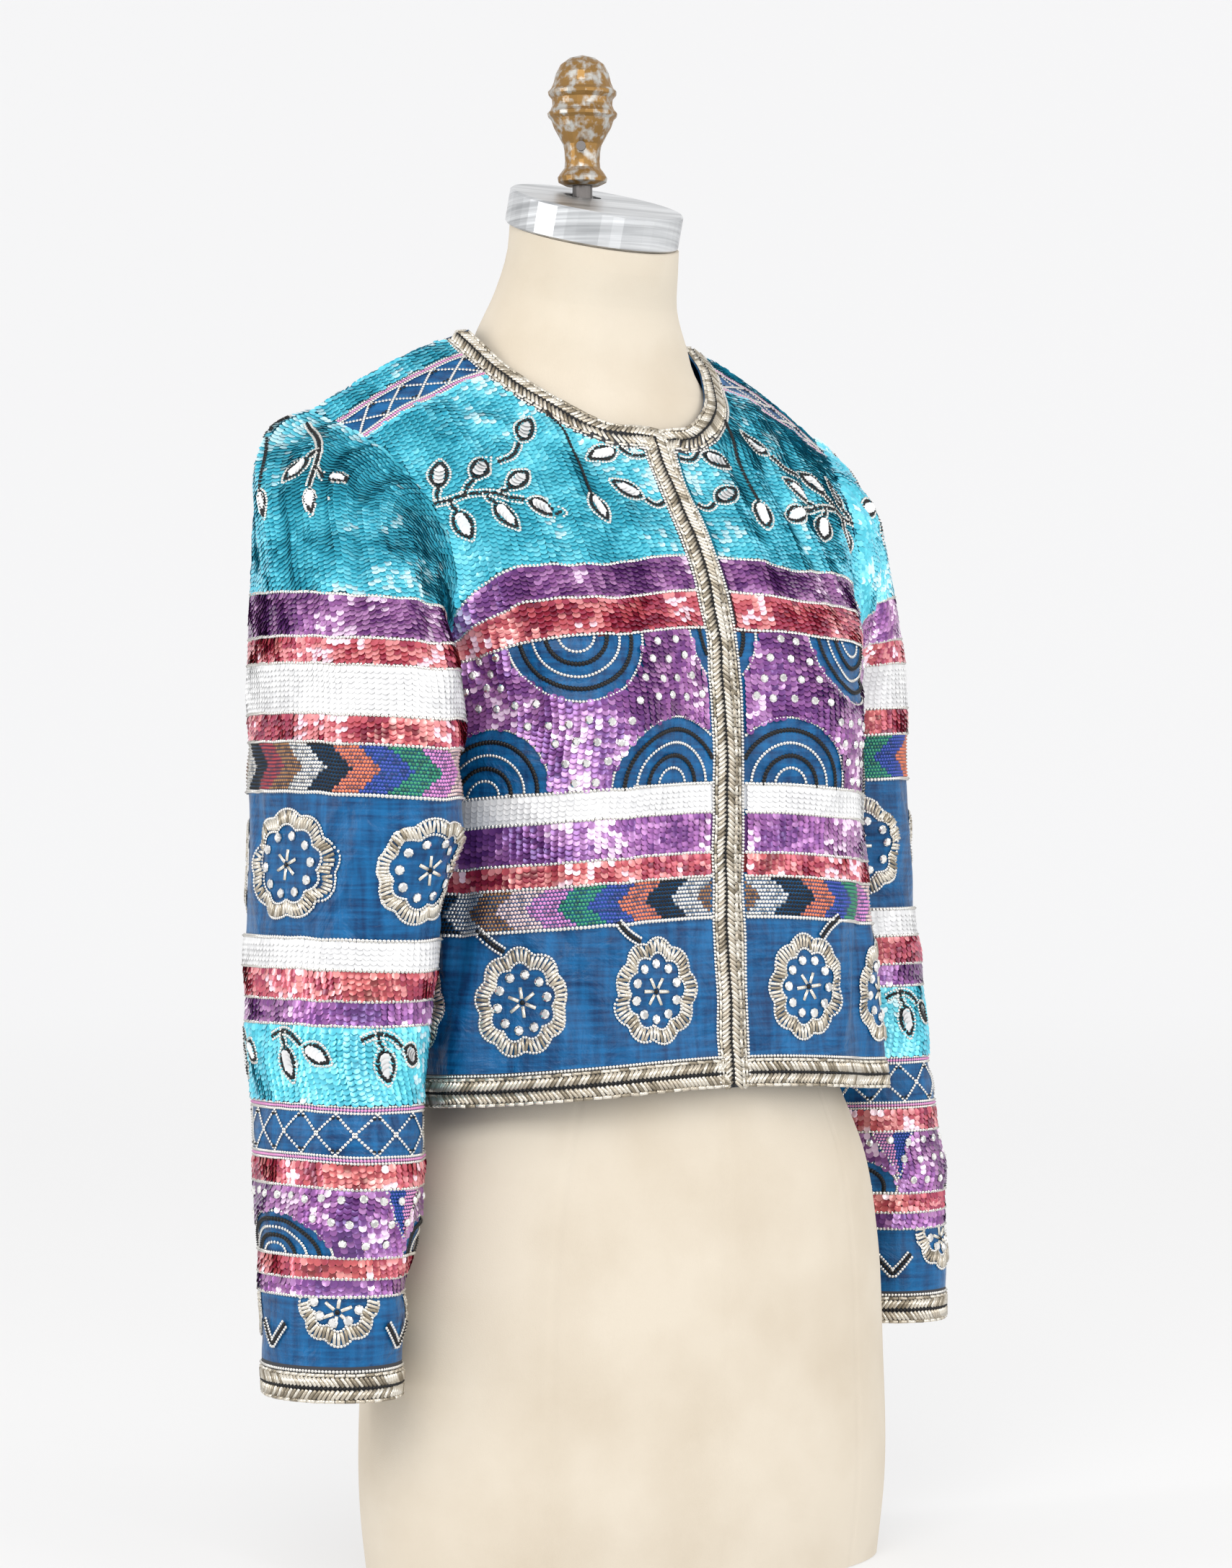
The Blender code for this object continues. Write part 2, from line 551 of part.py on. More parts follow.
def sleeve(side, table, cap_reach, material):
    turn = sleeve_columns()
    angle = turn * 2 * math.pi
    loop = armhole_loop(turn)
    middle = loop.mean(axis=0)
    loop = loop + np.array([ARMHOLE_GAP, 0, 0])
    arm = sleeve_ring(table, table[0]["z"], turn)
    rise = np.clip(np.cos(angle), 0, 1)
    leave = np.stack([np.ones_like(angle), 0.15 * (loop[:, 1] - middle[1]) / 0.06, -0.35 * rise], axis=-1)
    leave /= np.linalg.norm(leave, axis=-1, keepdims=True)
    span = np.linalg.norm(arm - loop, axis=-1, keepdims=True)
    gather = np.cos(GATHER_COUNT * math.pi * angle / math.radians(GATHER_SPREAD))
    from_top = np.minimum(turn, 1 - turn) * 360
    gather = gather * np.clip(1.15 - from_top / GATHER_SPREAD, 0, 1)
    rows = []
    for t in np.linspace(0, 1, CAP_ROWS + 1):
        ring = (
            loop * (2 * t**3 - 3 * t**2 + 1)
            + leave * span * cap_reach * (t**3 - 2 * t**2 + t)
            + arm * (3 * t**2 - 2 * t**3)
            + np.array([0, 0, -1]) * span * CAP_FALL * (t**3 - t**2)
        )
        outside = np.stack([np.cos(angle), -np.sin(angle), 0.5 * rise], axis=-1)
        puff = CAP_PUFF * rise * math.sin(math.pi * min(1, t * 1.6)) ** 2
        wave = GATHER_DEPTH * gather * math.sin(math.pi * min(1, 0.06 + t * 1.25)) * (1 - t)
        rows.append(ring + outside * (puff + wave)[:, None])
    low_z = table[-1]["z"]
    for z in np.linspace(table[0]["z"], low_z, ARM_ROWS + 1)[1:]:
        ring = sleeve_ring(table, z, turn)
        outside = np.stack([np.cos(angle), -np.sin(angle), np.zeros_like(angle)], axis=-1)
        crease = np.zeros_like(angle)
        for row in SLEEVE_FOLDS:
            around = (np.degrees(angle) - row["at"] + 180) % 360 - 180
            up = (z - row["z"]) / row["tall"]
            crease += row["depth"] * np.exp(-((around / row["spread"]) ** 2) - up * up)
        rows.append(ring + outside * crease[:, None])
    grid = np.array(rows)
    grid[-2] = grid[-1] + (grid[-3] - grid[-1]) * (
        TRIM_WIDTH / np.linalg.norm(grid[-3] - grid[-1], axis=-1)
    )[:, None]
    normals = outward(grid, closed_columns=True)
    normals[0, :, 0] = 0
    normals[0] /= np.linalg.norm(normals[0], axis=-1, keepdims=True)
    raised = np.zeros(grid.shape[:2])
    raised[-1] = TRIM_RISE
    flip = np.array([side, 1, 1])
    name = "sleeve_right" if side < 0 else "sleeve_left"
    return add_wall(name, grid * flip, normals * flip, material, raised, closed_columns=True)


def torso(material):
    """The form's torso: level rings that tilt forward as they near the neck."""
    turn = np.arange(FORM_COLUMNS) / FORM_COLUMNS * 2 * math.pi
    rings = []
    for row in FORM_SECTIONS:
        centre = (row["front"] + row["back"]) / 2
        deep = (row["back"] - row["front"]) / 2
        x = row["side"] * np.sign(np.cos(turn)) * np.abs(np.cos(turn)) ** (2 / row["n"])
        y = deep * np.sign(np.sin(turn)) * np.abs(np.sin(turn)) ** (2 / row["n"])
        z = row["z"] + y * math.tan(math.radians(row["tilt"]))
        rings.append(np.stack([x, centre + y, z], axis=-1))
    points = np.concatenate(rings)
    faces = []
    for r in range(len(rings) - 1):
        for c in range(FORM_COLUMNS):
            d = (c + 1) % FORM_COLUMNS
            a, b = r * FORM_COLUMNS + c, r * FORM_COLUMNS + d
            faces.append((a, b, b + FORM_COLUMNS, a + FORM_COLUMNS))
    faces.append(tuple(range(FORM_COLUMNS))[::-1])
    faces.append(tuple((len(rings) - 1) * FORM_COLUMNS + c for c in range(FORM_COLUMNS)))
    return add_object("form_torso", points, faces, material)


def turned(name, outline, centre, sides, material, crown=None):
    """A lathe shape: rings of (radius, height), a flat foot and a flat or pointed crown."""
    angle = np.arange(sides) / sides * 2 * math.pi
    points = [
        (centre[0] + r * math.cos(a), centre[1] + r * math.sin(a), centre[2] + h) for r, h in outline for a in angle
    ]
    faces = [tuple(range(sides))[::-1]]
    for i in range(len(outline) - 1):
        for c in range(sides):
            d = (c + 1) % sides
            faces.append((i * sides + c, i * sides + d, (i + 1) * sides + d, (i + 1) * sides + c))
    top = (len(outline) - 1) * sides
    if crown is None:
        faces.append(tuple(top + c for c in range(sides)))
    else:
        points.append((centre[0], centre[1], centre[2] + crown))
        faces += [(top + c, top + (c + 1) % sides, len(points) - 1) for c in range(sides)]
    return add_object(name, points, faces, material)


def neck_cap(material):
    """The metal disc on the neck, tilted forward, with a slot that the finial's stem passes."""
    half = CAP_HEIGHT / 2
    outline = (
        (CAP_RADIUS - CAP_EDGE, -half),
        (CAP_RADIUS, -half + CAP_EDGE),
        (CAP_RADIUS, half - CAP_EDGE),
        (CAP_RADIUS - CAP_EDGE, half),
    )
    cap = turned("neck_cap", outline, (0, 0, 0), 48, material)
    cap.rotation_euler = (math.radians(CAP_TILT), 0, 0)
    cap.location = CAP_CENTRE
    reach = SLOT_LENGTH / 2 - SLOT_WIDTH / 2
    ends = []
    for sign in (1, -1):
        for a in np.linspace(-90, 90, 9):
            turn = math.radians(a)
            ends.append((sign * (reach + SLOT_WIDTH / 2 * math.cos(turn)), sign * SLOT_WIDTH / 2 * math.sin(turn)))
    count = len(ends)
    points = [(x, y, z) for z in (-0.03, 0.03) for x, y in ends]
    faces = [tuple(range(count))[::-1], tuple(range(count, 2 * count))]
    faces += [(i, (i + 1) % count, count + (i + 1) % count, count + i) for i in range(count)]
    cutter = add_object("slot_cutter", points, faces, material, smooth=False)
    cutter.location = (0, FINIAL_Y, CAP_CENTRE[2])
    cutter.hide_render = True
    cutter.display_type = "WIRE"
    cut = cap.modifiers.new("slot", "BOOLEAN")
    cut.object = cutter
    cut.operation = "DIFFERENCE"
    cut.solver = "EXACT"
    return cap


def finial(gold, steel):
    outline = [(row["r"], row["h"]) for row in FINIAL_OUTLINE]
    turned("finial", outline, (0, FINIAL_Y, FINIAL_Z), FINIAL_SIDES, gold, crown=FINIAL_TOP)
    stem_top = FINIAL_Z - SEAM_GAP - STEM_FOOT_Z
    turned("finial_stem", ((STEM_RADIUS, 0), (STEM_RADIUS, stem_top)), (0, FINIAL_Y, STEM_FOOT_Z), 20, steel)
    azimuth = math.radians(SCREW_AZIMUTH)
    away = (math.sin(azimuth), -math.cos(azimuth), 0)
    highest = SCREW_Z + SCREW_RADIUS - FINIAL_Z
    heights = [row["h"] for row in FINIAL_OUTLINE]
    waist = float(np.interp(highest, heights, [row["r"] for row in FINIAL_OUTLINE]))
    waist += SEAM_GAP
    outline = ((SCREW_RADIUS, 0), (SCREW_RADIUS, SCREW_TIP - waist))
    screw = turned("set_screw", outline, (0, 0, 0), 12, steel)
    screw.rotation_euler = (math.radians(90), 0, azimuth)
    screw.location = (away[0] * waist, FINIAL_Y + away[1] * waist, SCREW_Z)


def main():
    clear_scene()
    cloth = finish("sequin_cloth", (0.03, 0.30, 0.42), 0.35)
    sleeve_cloth = finish("sleeve_cloth", (0.03, 0.27, 0.45), 0.35)
    canvas = finish("form_canvas", (0.72, 0.62, 0.47), 0.85)
    brushed = finish("brushed_metal", (0.70, 0.71, 0.72), 0.32, 1.0)
    gold = finish("worn_gold_paint", (0.50, 0.36, 0.16), 0.38, 0.8)
    steel = finish("dull_steel", (0.38, 0.36, 0.34), 0.45, 1.0)
    torso(canvas)
    front_panel(-1, cloth)
    front_panel(1, cloth)
    back_panel(cloth)
    sleeve(-1, RIGHT_SLEEVE, RIGHT_CAP_REACH, sleeve_cloth)
    sleeve(1, LEFT_SLEEVE, LEFT_CAP_REACH, sleeve_cloth)
    neck_cap(brushed)
    finial(gold, steel)


main()
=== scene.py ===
"""Looks of the beaded jacket and the dress form that wears it.

Each cloth piece is a thin shell on its solid's form. Sequins, beads, bugles and studs lie on it
in bands, which are given as distances from the hem or the cuff.
"""

import math

import bpy
import numpy as np
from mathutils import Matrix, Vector
from mathutils.bvhtree import BVHTree


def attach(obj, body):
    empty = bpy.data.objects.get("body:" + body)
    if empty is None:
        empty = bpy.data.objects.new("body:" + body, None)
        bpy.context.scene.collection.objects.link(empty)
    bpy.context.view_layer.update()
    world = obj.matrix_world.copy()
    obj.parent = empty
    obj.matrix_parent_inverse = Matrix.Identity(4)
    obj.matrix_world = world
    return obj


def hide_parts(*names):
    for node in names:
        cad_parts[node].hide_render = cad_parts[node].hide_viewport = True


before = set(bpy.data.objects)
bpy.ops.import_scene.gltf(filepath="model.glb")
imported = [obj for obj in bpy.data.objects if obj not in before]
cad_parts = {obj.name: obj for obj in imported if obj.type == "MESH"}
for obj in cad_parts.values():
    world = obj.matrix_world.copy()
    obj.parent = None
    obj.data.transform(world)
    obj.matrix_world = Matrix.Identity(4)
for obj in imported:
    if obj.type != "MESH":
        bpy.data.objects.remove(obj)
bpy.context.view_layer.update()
rng = np.random.default_rng(11)


def named(columns, *rows):
    """A table: its column names, then a row of numbers for each section, fold or point."""
    return [dict(zip(columns.split(), row)) for row in rows]


# Cloth, as in the solids, in metres
SHELL = 0.0010  # thickness of the cloth
WALL = 0.0020  # thickness of the solids' walls
TRIM_RISE = 0.0012  # how far the bead border stands above the wall
TRIM_WIDTH = 0.019
HEM_Z = 0.300
SIDE_DROP = 0.011  # the hem lies this much lower at the side seams
UNDERARM_Z = 0.540
FRONT_LAP = 0.006  # the right front's edge passes the centre line by this much
LAP_SHY = 0.001  # and the left front's edge by this much less
LAP_WIDTH = 0.030  # the lap draws on the cloth over this width
LAP_GAP = 0.0014  # between the two fronts
LAP_FADE = 0.020  # the lap fades out along this much of the neckline
SUNK_WIDTH = 0.040  # the left front lies deeper over this width
ARMHOLE_GAP = 0.0008

# Resolution of the shells
FRONT_COLUMNS = 72
BACK_COLUMNS = 63  # on each side of the centre back
NECK_COLUMNS = 28  # those of them that end at the neckline
BODY_ROWS = 64
YOKE_ROWS = 66
SLEEVE_COLUMNS = 132
CAP_ROWS = 36
ARM_ROWS = 96

# Sections of the jacket's body, hem to underarm: height, half-width at the side seam, centre of the
# section, front and back surface at the centre line, exponents of the front and back halves
BODY_SECTIONS = named(
    "z side centre front back front_n back_n",
    (0.300, 0.163, 0.006, -0.104, 0.104, 2.50, 2.3),
    (0.350, 0.160, 0.009, -0.100, 0.101, 2.50, 2.3),
    (0.420, 0.154, 0.014, -0.096, 0.104, 2.45, 2.3),
    (0.490, 0.152, 0.020, -0.095, 0.114, 2.40, 2.4),
    (0.540, 0.153, 0.026, -0.091, 0.122, 2.35, 2.5),
)

# Centre front edge above the underarm, then round the neckline to the neck point
FRONT_EDGE = named(
    "x y z",
    (0.000, -0.0910, 0.540),
    (0.000, -0.0850, 0.580),
    (0.000, -0.0740, 0.612),
    (0.000, -0.0530, 0.646),
    (0.000, -0.0340, 0.672),
    (0.000, -0.0200, 0.694),
    (0.030, -0.0120, 0.700),
    (0.057, 0.0080, 0.716),
    (0.073, 0.0330, 0.736),
    (0.081, 0.0640, 0.759),
)
CHEST_HOLLOW = 0.018  # how far the cloth above the bust falls in from a straight line
CHEST_TURN = 1.4  # the larger, the later the cloth turns in depth on its way up
BACK_FULLNESS = 0.007
BACK_TURN = 2.5
SHOULDER_CROWN = 0.004
FRONT_NECK_START = 0.52  # share of the yoke rows that lies below the neckline's corner

# Front armhole, underarm to shoulder point
FRONT_ARMHOLE = named(
    "x y z",
    (0.153, 0.0300, 0.540),
    (0.149, 0.0000, 0.548),
    (0.147, -0.0210, 0.572),
    (0.149, -0.0290, 0.602),
    (0.155, -0.0170, 0.640),
    (0.163, 0.0080, 0.668),
    (0.176, 0.0400, 0.690),
    (0.189, 0.0710, 0.704),
)

# Centre back above the underarm
BACK_EDGE = named(
    "x y z",
    (0.000, 0.1220, 0.540),
    (0.000, 0.1370, 0.600),
    (0.000, 0.1440, 0.660),
    (0.000, 0.1400, 0.715),
    (0.000, 0.1290, 0.758),
)

# Back neckline, nape to neck point
BACK_NECK = named(
    "x y z",
    (0.000, 0.1290, 0.758),
    (0.034, 0.1230, 0.760),
    (0.064, 0.1020, 0.762),
    (0.081, 0.0640, 0.759),
)


# Back armhole, underarm to shoulder point
BACK_ARMHOLE = named(
    "x y z",
    (0.153, 0.0300, 0.540),
    (0.152, 0.0620, 0.550),
    (0.153, 0.0880, 0.580),
    (0.156, 0.0980, 0.620),
    (0.163, 0.0960, 0.655),
    (0.176, 0.0850, 0.688),
    (0.189, 0.0710, 0.704),
)

# Soft forms pressed out of the body: height and distance from the centre line of the middle, half
# sizes, and how far the cloth stands out there
FRONT_SWELLS = named(
    "z x tall wide out",
    (0.530, 0.082, 0.050, 0.050, 0.016),
    (0.430, 0.090, 0.120, 0.044, 0.009),
)
BACK_SWELLS = named(
    "z x tall wide out",
    (0.630, 0.080, 0.060, 0.050, 0.004),
)

# Upright folds below the bust and at the back: side (-1 wearer's right), distance from the centre line
# as a share of the panel, width as the same share, depth at the hem, and height at which the fold ends
FRONT_FOLDS = named(
    "side place width depth top",
    (1, 0.62, 0.070, 0.0065, 0.470),
    (-1, 0.80, 0.080, 0.0050, 0.450),
)
BACK_FOLDS = named(
    "side place width depth top",
    (1, 0.45, 0.080, 0.0055, 0.480),
    (-1, 0.52, 0.080, 0.0045, 0.460),
)

# Sleeves below the cap: height, centre across and centre in depth, half-width and half-depth
RIGHT_SLEEVE = named(
    "z x y wide deep",
    (0.528, 0.2075, -0.0080, 0.0500, 0.0860),
    (0.485, 0.2090, -0.0120, 0.0510, 0.0860),
    (0.440, 0.2115, -0.0100, 0.0500, 0.0810),
    (0.380, 0.2155, -0.0055, 0.0480, 0.0710),
    (0.320, 0.2190, -0.0060, 0.0450, 0.0655),
    (0.255, 0.2220, -0.0140, 0.0425, 0.0610),
    (0.200, 0.2265, -0.0170, 0.0400, 0.0510),
    (0.160, 0.2280, -0.0165, 0.0385, 0.0475),
    (0.126, 0.2280, -0.0170, 0.0380, 0.0455),
)
LEFT_SLEEVE = named(
    "z x y wide deep",
    (0.528, 0.2035, 0.0780, 0.0450, 0.0660),
    (0.485, 0.2055, 0.0800, 0.0460, 0.0660),
    (0.440, 0.2085, 0.0790, 0.0460, 0.0640),
    (0.380, 0.2150, 0.0760, 0.0450, 0.0600),
    (0.320, 0.2205, 0.0680, 0.0440, 0.0560),
    (0.255, 0.2255, 0.0600, 0.0425, 0.0510),
    (0.200, 0.2295, 0.0520, 0.0400, 0.0460),
    (0.160, 0.2320, 0.0480, 0.0375, 0.0420),
    (0.134, 0.2320, 0.0470, 0.0370, 0.0410),
)

# Creases round the sleeve: height, direction round the arm in degrees (0 outside, 90 front), half
# height, half spread in degrees, and depth (a trough is negative)
SLEEVE_FOLDS = named(
    "z at tall spread depth",
    (0.492, 150, 0.011, 60, -0.0040),
    (0.452, 120, 0.010, 75, 0.0030),
    (0.412, 160, 0.010, 60, -0.0038),
    (0.372, 100, 0.011, 70, 0.0026),
    (0.300, 20, 0.013, 70, -0.0030),
    (0.232, 60, 0.012, 80, 0.0024),
    (0.190, 120, 0.010, 70, -0.0026),
)

# Gathers at the top of each sleeve cap
GATHER_COUNT = 7
GATHER_DEPTH = 0.0038
GATHER_FADE = 1.15  # the larger, the further round they keep their depth
GATHER_START = 0.06  # how far a gather has swung out where it leaves the armhole
GATHER_HASTE = 1.25  # and how fast it swings out and in again
GATHER_SPREAD = 78  # degrees each side of the shoulder
CAP_PUFF = 0.004
PUFF_RISE = 0.5  # share of the puff that goes up
PUFF_HASTE = 1.6  # the larger, the nearer to the armhole the puff lies
CROWDING = 0.55  # how much closer the columns lie at the shoulder than in even steps
RIGHT_CAP_REACH = 0.85  # how strongly a cap leaves the armhole sideways
LEFT_CAP_REACH = 0.45
CAP_FALL = 1.15  # and how strongly it turns down into the arm
LEAVE_FAN = 2.5  # spread of its front and back as it leaves
LEAVE_DROP = 0.35  # and its drop at the shoulder

# Shape of the folds: how soon they die out above the hem, and depth and place of the troughs beside them
FOLD_FADE = 1.3
TROUGH_DEPTH = 0.6
TROUGH_PLACE = 1.6

# Shape of the soft creases: their wandering, its length and start, and the ridges beside the trough
WANDER = 0.25
WANDER_LENGTH = 0.021
WANDER_START = 90
RIDGE_HEIGHT = 0.55
RIDGE_PLACE = 1.5
RELIEF_FADE = 0.03  # creases fade out this near to the edges

# Sections of the form's torso, base to neck: height and forward tilt of the ring, half-width, centre,
# front and back surface, exponent
FORM_SECTIONS = named(
    "z tilt side front back n",
    (0.000, 0, 0.1750, -0.0920, 0.1100, 2.1),
    (0.045, 0, 0.1800, -0.0960, 0.1140, 2.1),
    (0.130, 0, 0.1790, -0.0960, 0.1150, 2.1),
    (0.200, 0, 0.1740, -0.0950, 0.1120, 2.1),
    (0.250, 0, 0.1620, -0.0930, 0.1020, 2.1),
    (0.300, 0, 0.1380, -0.0850, 0.0880, 2.1),
    (0.350, 0, 0.1240, -0.0760, 0.0850, 2.1),
    (0.400, 0, 0.1270, -0.0740, 0.0920, 2.1),
    (0.460, 0, 0.1370, -0.0820, 0.1030, 2.1),
    (0.520, 0, 0.1450, -0.0850, 0.1130, 2.1),
    (0.570, 0, 0.1420, -0.0800, 0.1220, 2.1),
    (0.610, 0, 0.1380, -0.0650, 0.1290, 2.1),
    (0.645, 0, 0.1390, -0.0420, 0.1320, 2.1),
    (0.672, 0, 0.1400, -0.0235, 0.1320, 2.0),
    (0.690, 0, 0.1350, -0.0125, 0.1270, 1.9),
    (0.706, 1, 0.1170, -0.0060, 0.1240, 1.8),
    (0.722, 2, 0.0930, -0.0005, 0.1200, 1.8),
    (0.738, 4, 0.0785, 0.0020, 0.1180, 1.9),
    (0.756, 7, 0.0700, 0.0030, 0.1150, 2.0),
    (0.780, 11, 0.0590, 0.0020, 0.1060, 2.0),
    (0.805, 15, 0.0535, -0.0050, 0.0980, 2.0),
    (0.8195, 17, 0.0525, -0.0075, 0.0975, 2.0),
)


def hermite(t):
    """Weights of a cubic's start, slope at its start, end and slope at its end."""
    return 2 * t**3 - 3 * t**2 + 1, t**3 - 2 * t**2 + t, 3 * t**2 - 2 * t**3, t**3 - t**2


def curve_through(rows, names, places, at):
    """Smooth values of the named columns: a cubic through the table's rows, which lie at `places`."""
    at = np.asarray(at, float)
    places = np.asarray(places, float)
    values = np.array([[row[name] for name in names] for row in rows], float)
    slopes = np.gradient(values, places, axis=0)
    index = np.clip(np.searchsorted(places, at, side="right") - 1, 0, len(places) - 2)
    step = places[index + 1] - places[index]
    start, leave, end, arrive = hermite(((at - places[index]) / step)[..., None])
    rise, fall = slopes[index] * step[..., None], slopes[index + 1] * step[..., None]
    return values[index] * start + rise * leave + values[index + 1] * end + fall * arrive


def run_along(points, axis=0):
    """Length of the way along a line of points, or along each line of a grid, at each point."""
    steps = np.linalg.norm(np.diff(points, axis=axis), axis=-1)
    return np.concatenate([np.zeros_like(steps.take([0], axis)), np.cumsum(steps, axis=axis)], axis=axis)


def along_line(at, run, values):
    """Each column's values at the lengths `at` along a line."""
    return np.stack([np.interp(at, run, column) for column in values.T], axis=-1)


def lengths_along(rows):
    """Share of the way along a table of x, y, z rows at each row."""
    run = run_along(np.array([[row["x"], row["y"], row["z"]] for row in rows]))
    return run / run[-1]


def path(rows, at):
    """Points at shares `at` of the way along a table of x, y, z rows."""
    return curve_through(rows, ("x", "y", "z"), lengths_along(rows), at)


def body_section(z, front, share):
    """Points of one half of a level section: share 0 at the centre line and 1 at the side seam."""
    names = ("side", "centre", "front" if front else "back", "front_n" if front else "back_n")
    places = [row["z"] for row in BODY_SECTIONS]
    side, centre, face, power = curve_through(BODY_SECTIONS, names, places, z)
    angle = share * math.pi / 2
    x = side * np.abs(np.sin(angle)) ** (2 / power)
    y = centre + (face - centre) * np.abs(np.cos(angle)) ** (2 / power)
    return np.stack([x, y, np.full_like(x, z)], axis=-1)


def even_share(z, front, count):
    """Shares that space `count` + 1 points evenly along a half section."""
    fine = np.linspace(0, 1, 400)
    run = run_along(body_section(z, front, fine))
    return np.interp(np.linspace(0, run[-1], count + 1), run, fine)


def ease(t):
    """A share that leaves 0 and reaches 1 gently."""
    return t * t * (3 - 2 * t)


def swell_out(points, swells, direction):
    """Moves points along Y where a swell stands under them."""
    for row in swells:
        across = (np.abs(points[..., 0]) - row["x"]) / row["wide"]
        up = (points[..., 2] - row["z"]) / row["tall"]
        points[..., 1] += direction * row["out"] * np.exp(-(across**2) - up**2)
    return points


def low_body(front, columns):
    """Rows of one half of the body from hem to underarm."""
    share = np.linspace(0, 1, columns + 1)
    rows = []
    for z in np.linspace(HEM_Z, UNDERARM_Z, BODY_ROWS + 1):
        row = body_section(z, front, even_share(z, front, columns))
        row[:, 2] -= SIDE_DROP * ease(share) * (UNDERARM_Z - z) / (UNDERARM_Z - HEM_Z)
        rows.append(row)
    return rows


def shoulder_line(start, end, count):
    """Points from the neck to the shoulder point, crowned a little."""
    share = np.linspace(0, 1, count)[:, None]
    line = start * (1 - share) + end * share
    line[:, 2] += SHOULDER_CROWN * np.sin(np.pi * share[:, 0])
    return line


def yoke_rows(bottom, top, inner, outer, hollow, turn):
    """Rows between the underarm row and the top line that also follow their two end lines.

    The larger `turn` is, the later the cloth turns in depth towards the top line.
    """
    share = np.linspace(0, 1, len(bottom))[:, None]
    rows = []
    for i, t in enumerate(np.linspace(0, 1, YOKE_ROWS + 1)[1:]):
        blend = ease(t)
        row = bottom * (1 - blend) + top * blend
        row[:, 1] = bottom[:, 1] + (top[:, 1] - bottom[:, 1]) * t**turn
        row = row + (1 - share) * (inner[i] - row[0]) + share * (outer[i] - row[-1])
        row[:, 1] += hollow * np.sin(np.pi * t) ** 1.5 * np.sin(np.pi * share[:, 0])
        rows.append(row)
    return rows


def front_half():
    """Grid of the front for +X: rows run hem to shoulder, columns centre edge to side seam."""
    rows = low_body(True, FRONT_COLUMNS)
    w = np.linspace(0, 1, YOKE_ROWS + 1)[1:]
    corner = lengths_along(FRONT_EDGE)[sum(row["x"] == 0 for row in FRONT_EDGE) - 1]
    past = (w - FRONT_NECK_START) / (1 - FRONT_NECK_START)
    inner = path(FRONT_EDGE, np.where(past < 0, w / FRONT_NECK_START * corner, corner + past * (1 - corner)))
    inner[past <= 0, 0] = 0.0
    outer = path(FRONT_ARMHOLE, w)
    top = shoulder_line(inner[-1], outer[-1], FRONT_COLUMNS + 1)
    grid = np.array(rows + yoke_rows(rows[-1], top, inner, outer, CHEST_HOLLOW, CHEST_TURN))
    return swell_out(grid, FRONT_SWELLS, -1)


def back_half():
    """Grid of half the back for +X: rows run hem to shoulder, columns centre back to side seam."""
    rows = low_body(False, BACK_COLUMNS)
    w = np.linspace(0, 1, YOKE_ROWS + 1)[1:]
    outer = path(BACK_ARMHOLE, w)
    neck = path(BACK_NECK, np.linspace(0, 1, NECK_COLUMNS + 1))
    top = np.concatenate([neck, shoulder_line(neck[-1], outer[-1], BACK_COLUMNS - NECK_COLUMNS + 1)[1:]])
    grid = np.array(rows + yoke_rows(rows[-1], top, path(BACK_EDGE, w), outer, -BACK_FULLNESS, BACK_TURN))
    return swell_out(grid, BACK_SWELLS, 1)


def outward(grid):
    """Normals of a grid at its points."""
    normal = np.cross(np.gradient(grid, axis=1), np.gradient(grid, axis=0))
    return normal / np.linalg.norm(normal, axis=-1, keepdims=True)


def add_folds(grid, normals, folds, side):
    """The grid with its upright folds, each a ridge between two troughs that is deepest at the hem."""
    places = np.linspace(0, 1, grid.shape[1])[None, :]
    for row in folds:
        if row["side"] != side:
            continue
        drop = np.clip((row["top"] - grid[..., 2]) / (row["top"] - HEM_Z), 0, 1) ** FOLD_FADE
        wave = (places - row["place"]) / row["width"]
        ridge = np.exp(-(wave**2))
        for place in (TROUGH_PLACE, -TROUGH_PLACE):
            ridge = ridge - TROUGH_DEPTH * np.exp(-((wave - place) ** 2))
        grid = grid + normals * (row["depth"] * drop * ridge)[..., None]
    return grid


def unit(v):
    """Vectors of length 1."""
    return v / np.maximum(np.linalg.norm(v, axis=-1, keepdims=True), 1e-9)


def soft_waves(a, b, seed, wave=0.045):
    """A smooth uneven field between about -1 and 1 over two lengths in metres."""
    draw = np.random.default_rng(seed)
    total = np.zeros(np.broadcast(a, b).shape)
    for _ in range(6):
        turn = draw.uniform(0, 2 * math.pi)
        length = wave * draw.uniform(0.7, 1.6)
        phase = draw.uniform(0, 2 * math.pi)
        total += np.sin(2 * math.pi * (a * math.cos(turn) + b * math.sin(turn)) / length + phase)
    return total / 3


def front_grid(side):
    """Grid of a whole front: -1 is the wearer's right, which laps over the left one."""
    grid = front_half()
    normals = outward(grid)
    grid = add_folds(grid, normals, FRONT_FOLDS, side)
    reach = FRONT_LAP if side < 0 else FRONT_LAP - LAP_SHY
    lap = np.clip(1 - grid[:, 0, 0] / LAP_FADE, 0, 1)[:, None]
    from_edge = np.linalg.norm(grid - grid[:, :1], axis=-1)
    grid[..., 0] -= lap * reach * np.clip(1 - from_edge / LAP_WIDTH, 0, 1)
    if side > 0:
        sunk = np.clip((SUNK_WIDTH - from_edge) / (SUNK_WIDTH - TRIM_WIDTH), 0, 1)
        grid -= normals * (lap * sunk * (WALL + LAP_GAP + TRIM_RISE))[..., None]
    grid[..., 0] *= side
    return grid


def back_grid():
    """Grid of the whole back, from the wearer's right side seam to the left one."""
    half = back_half()
    normals = -outward(half)
    left = add_folds(half, normals, BACK_FOLDS, 1)
    right = add_folds(half, normals, BACK_FOLDS, -1) * np.array([-1, 1, 1])
    return np.concatenate([right[:, ::-1], left[:, 1:]], axis=1)


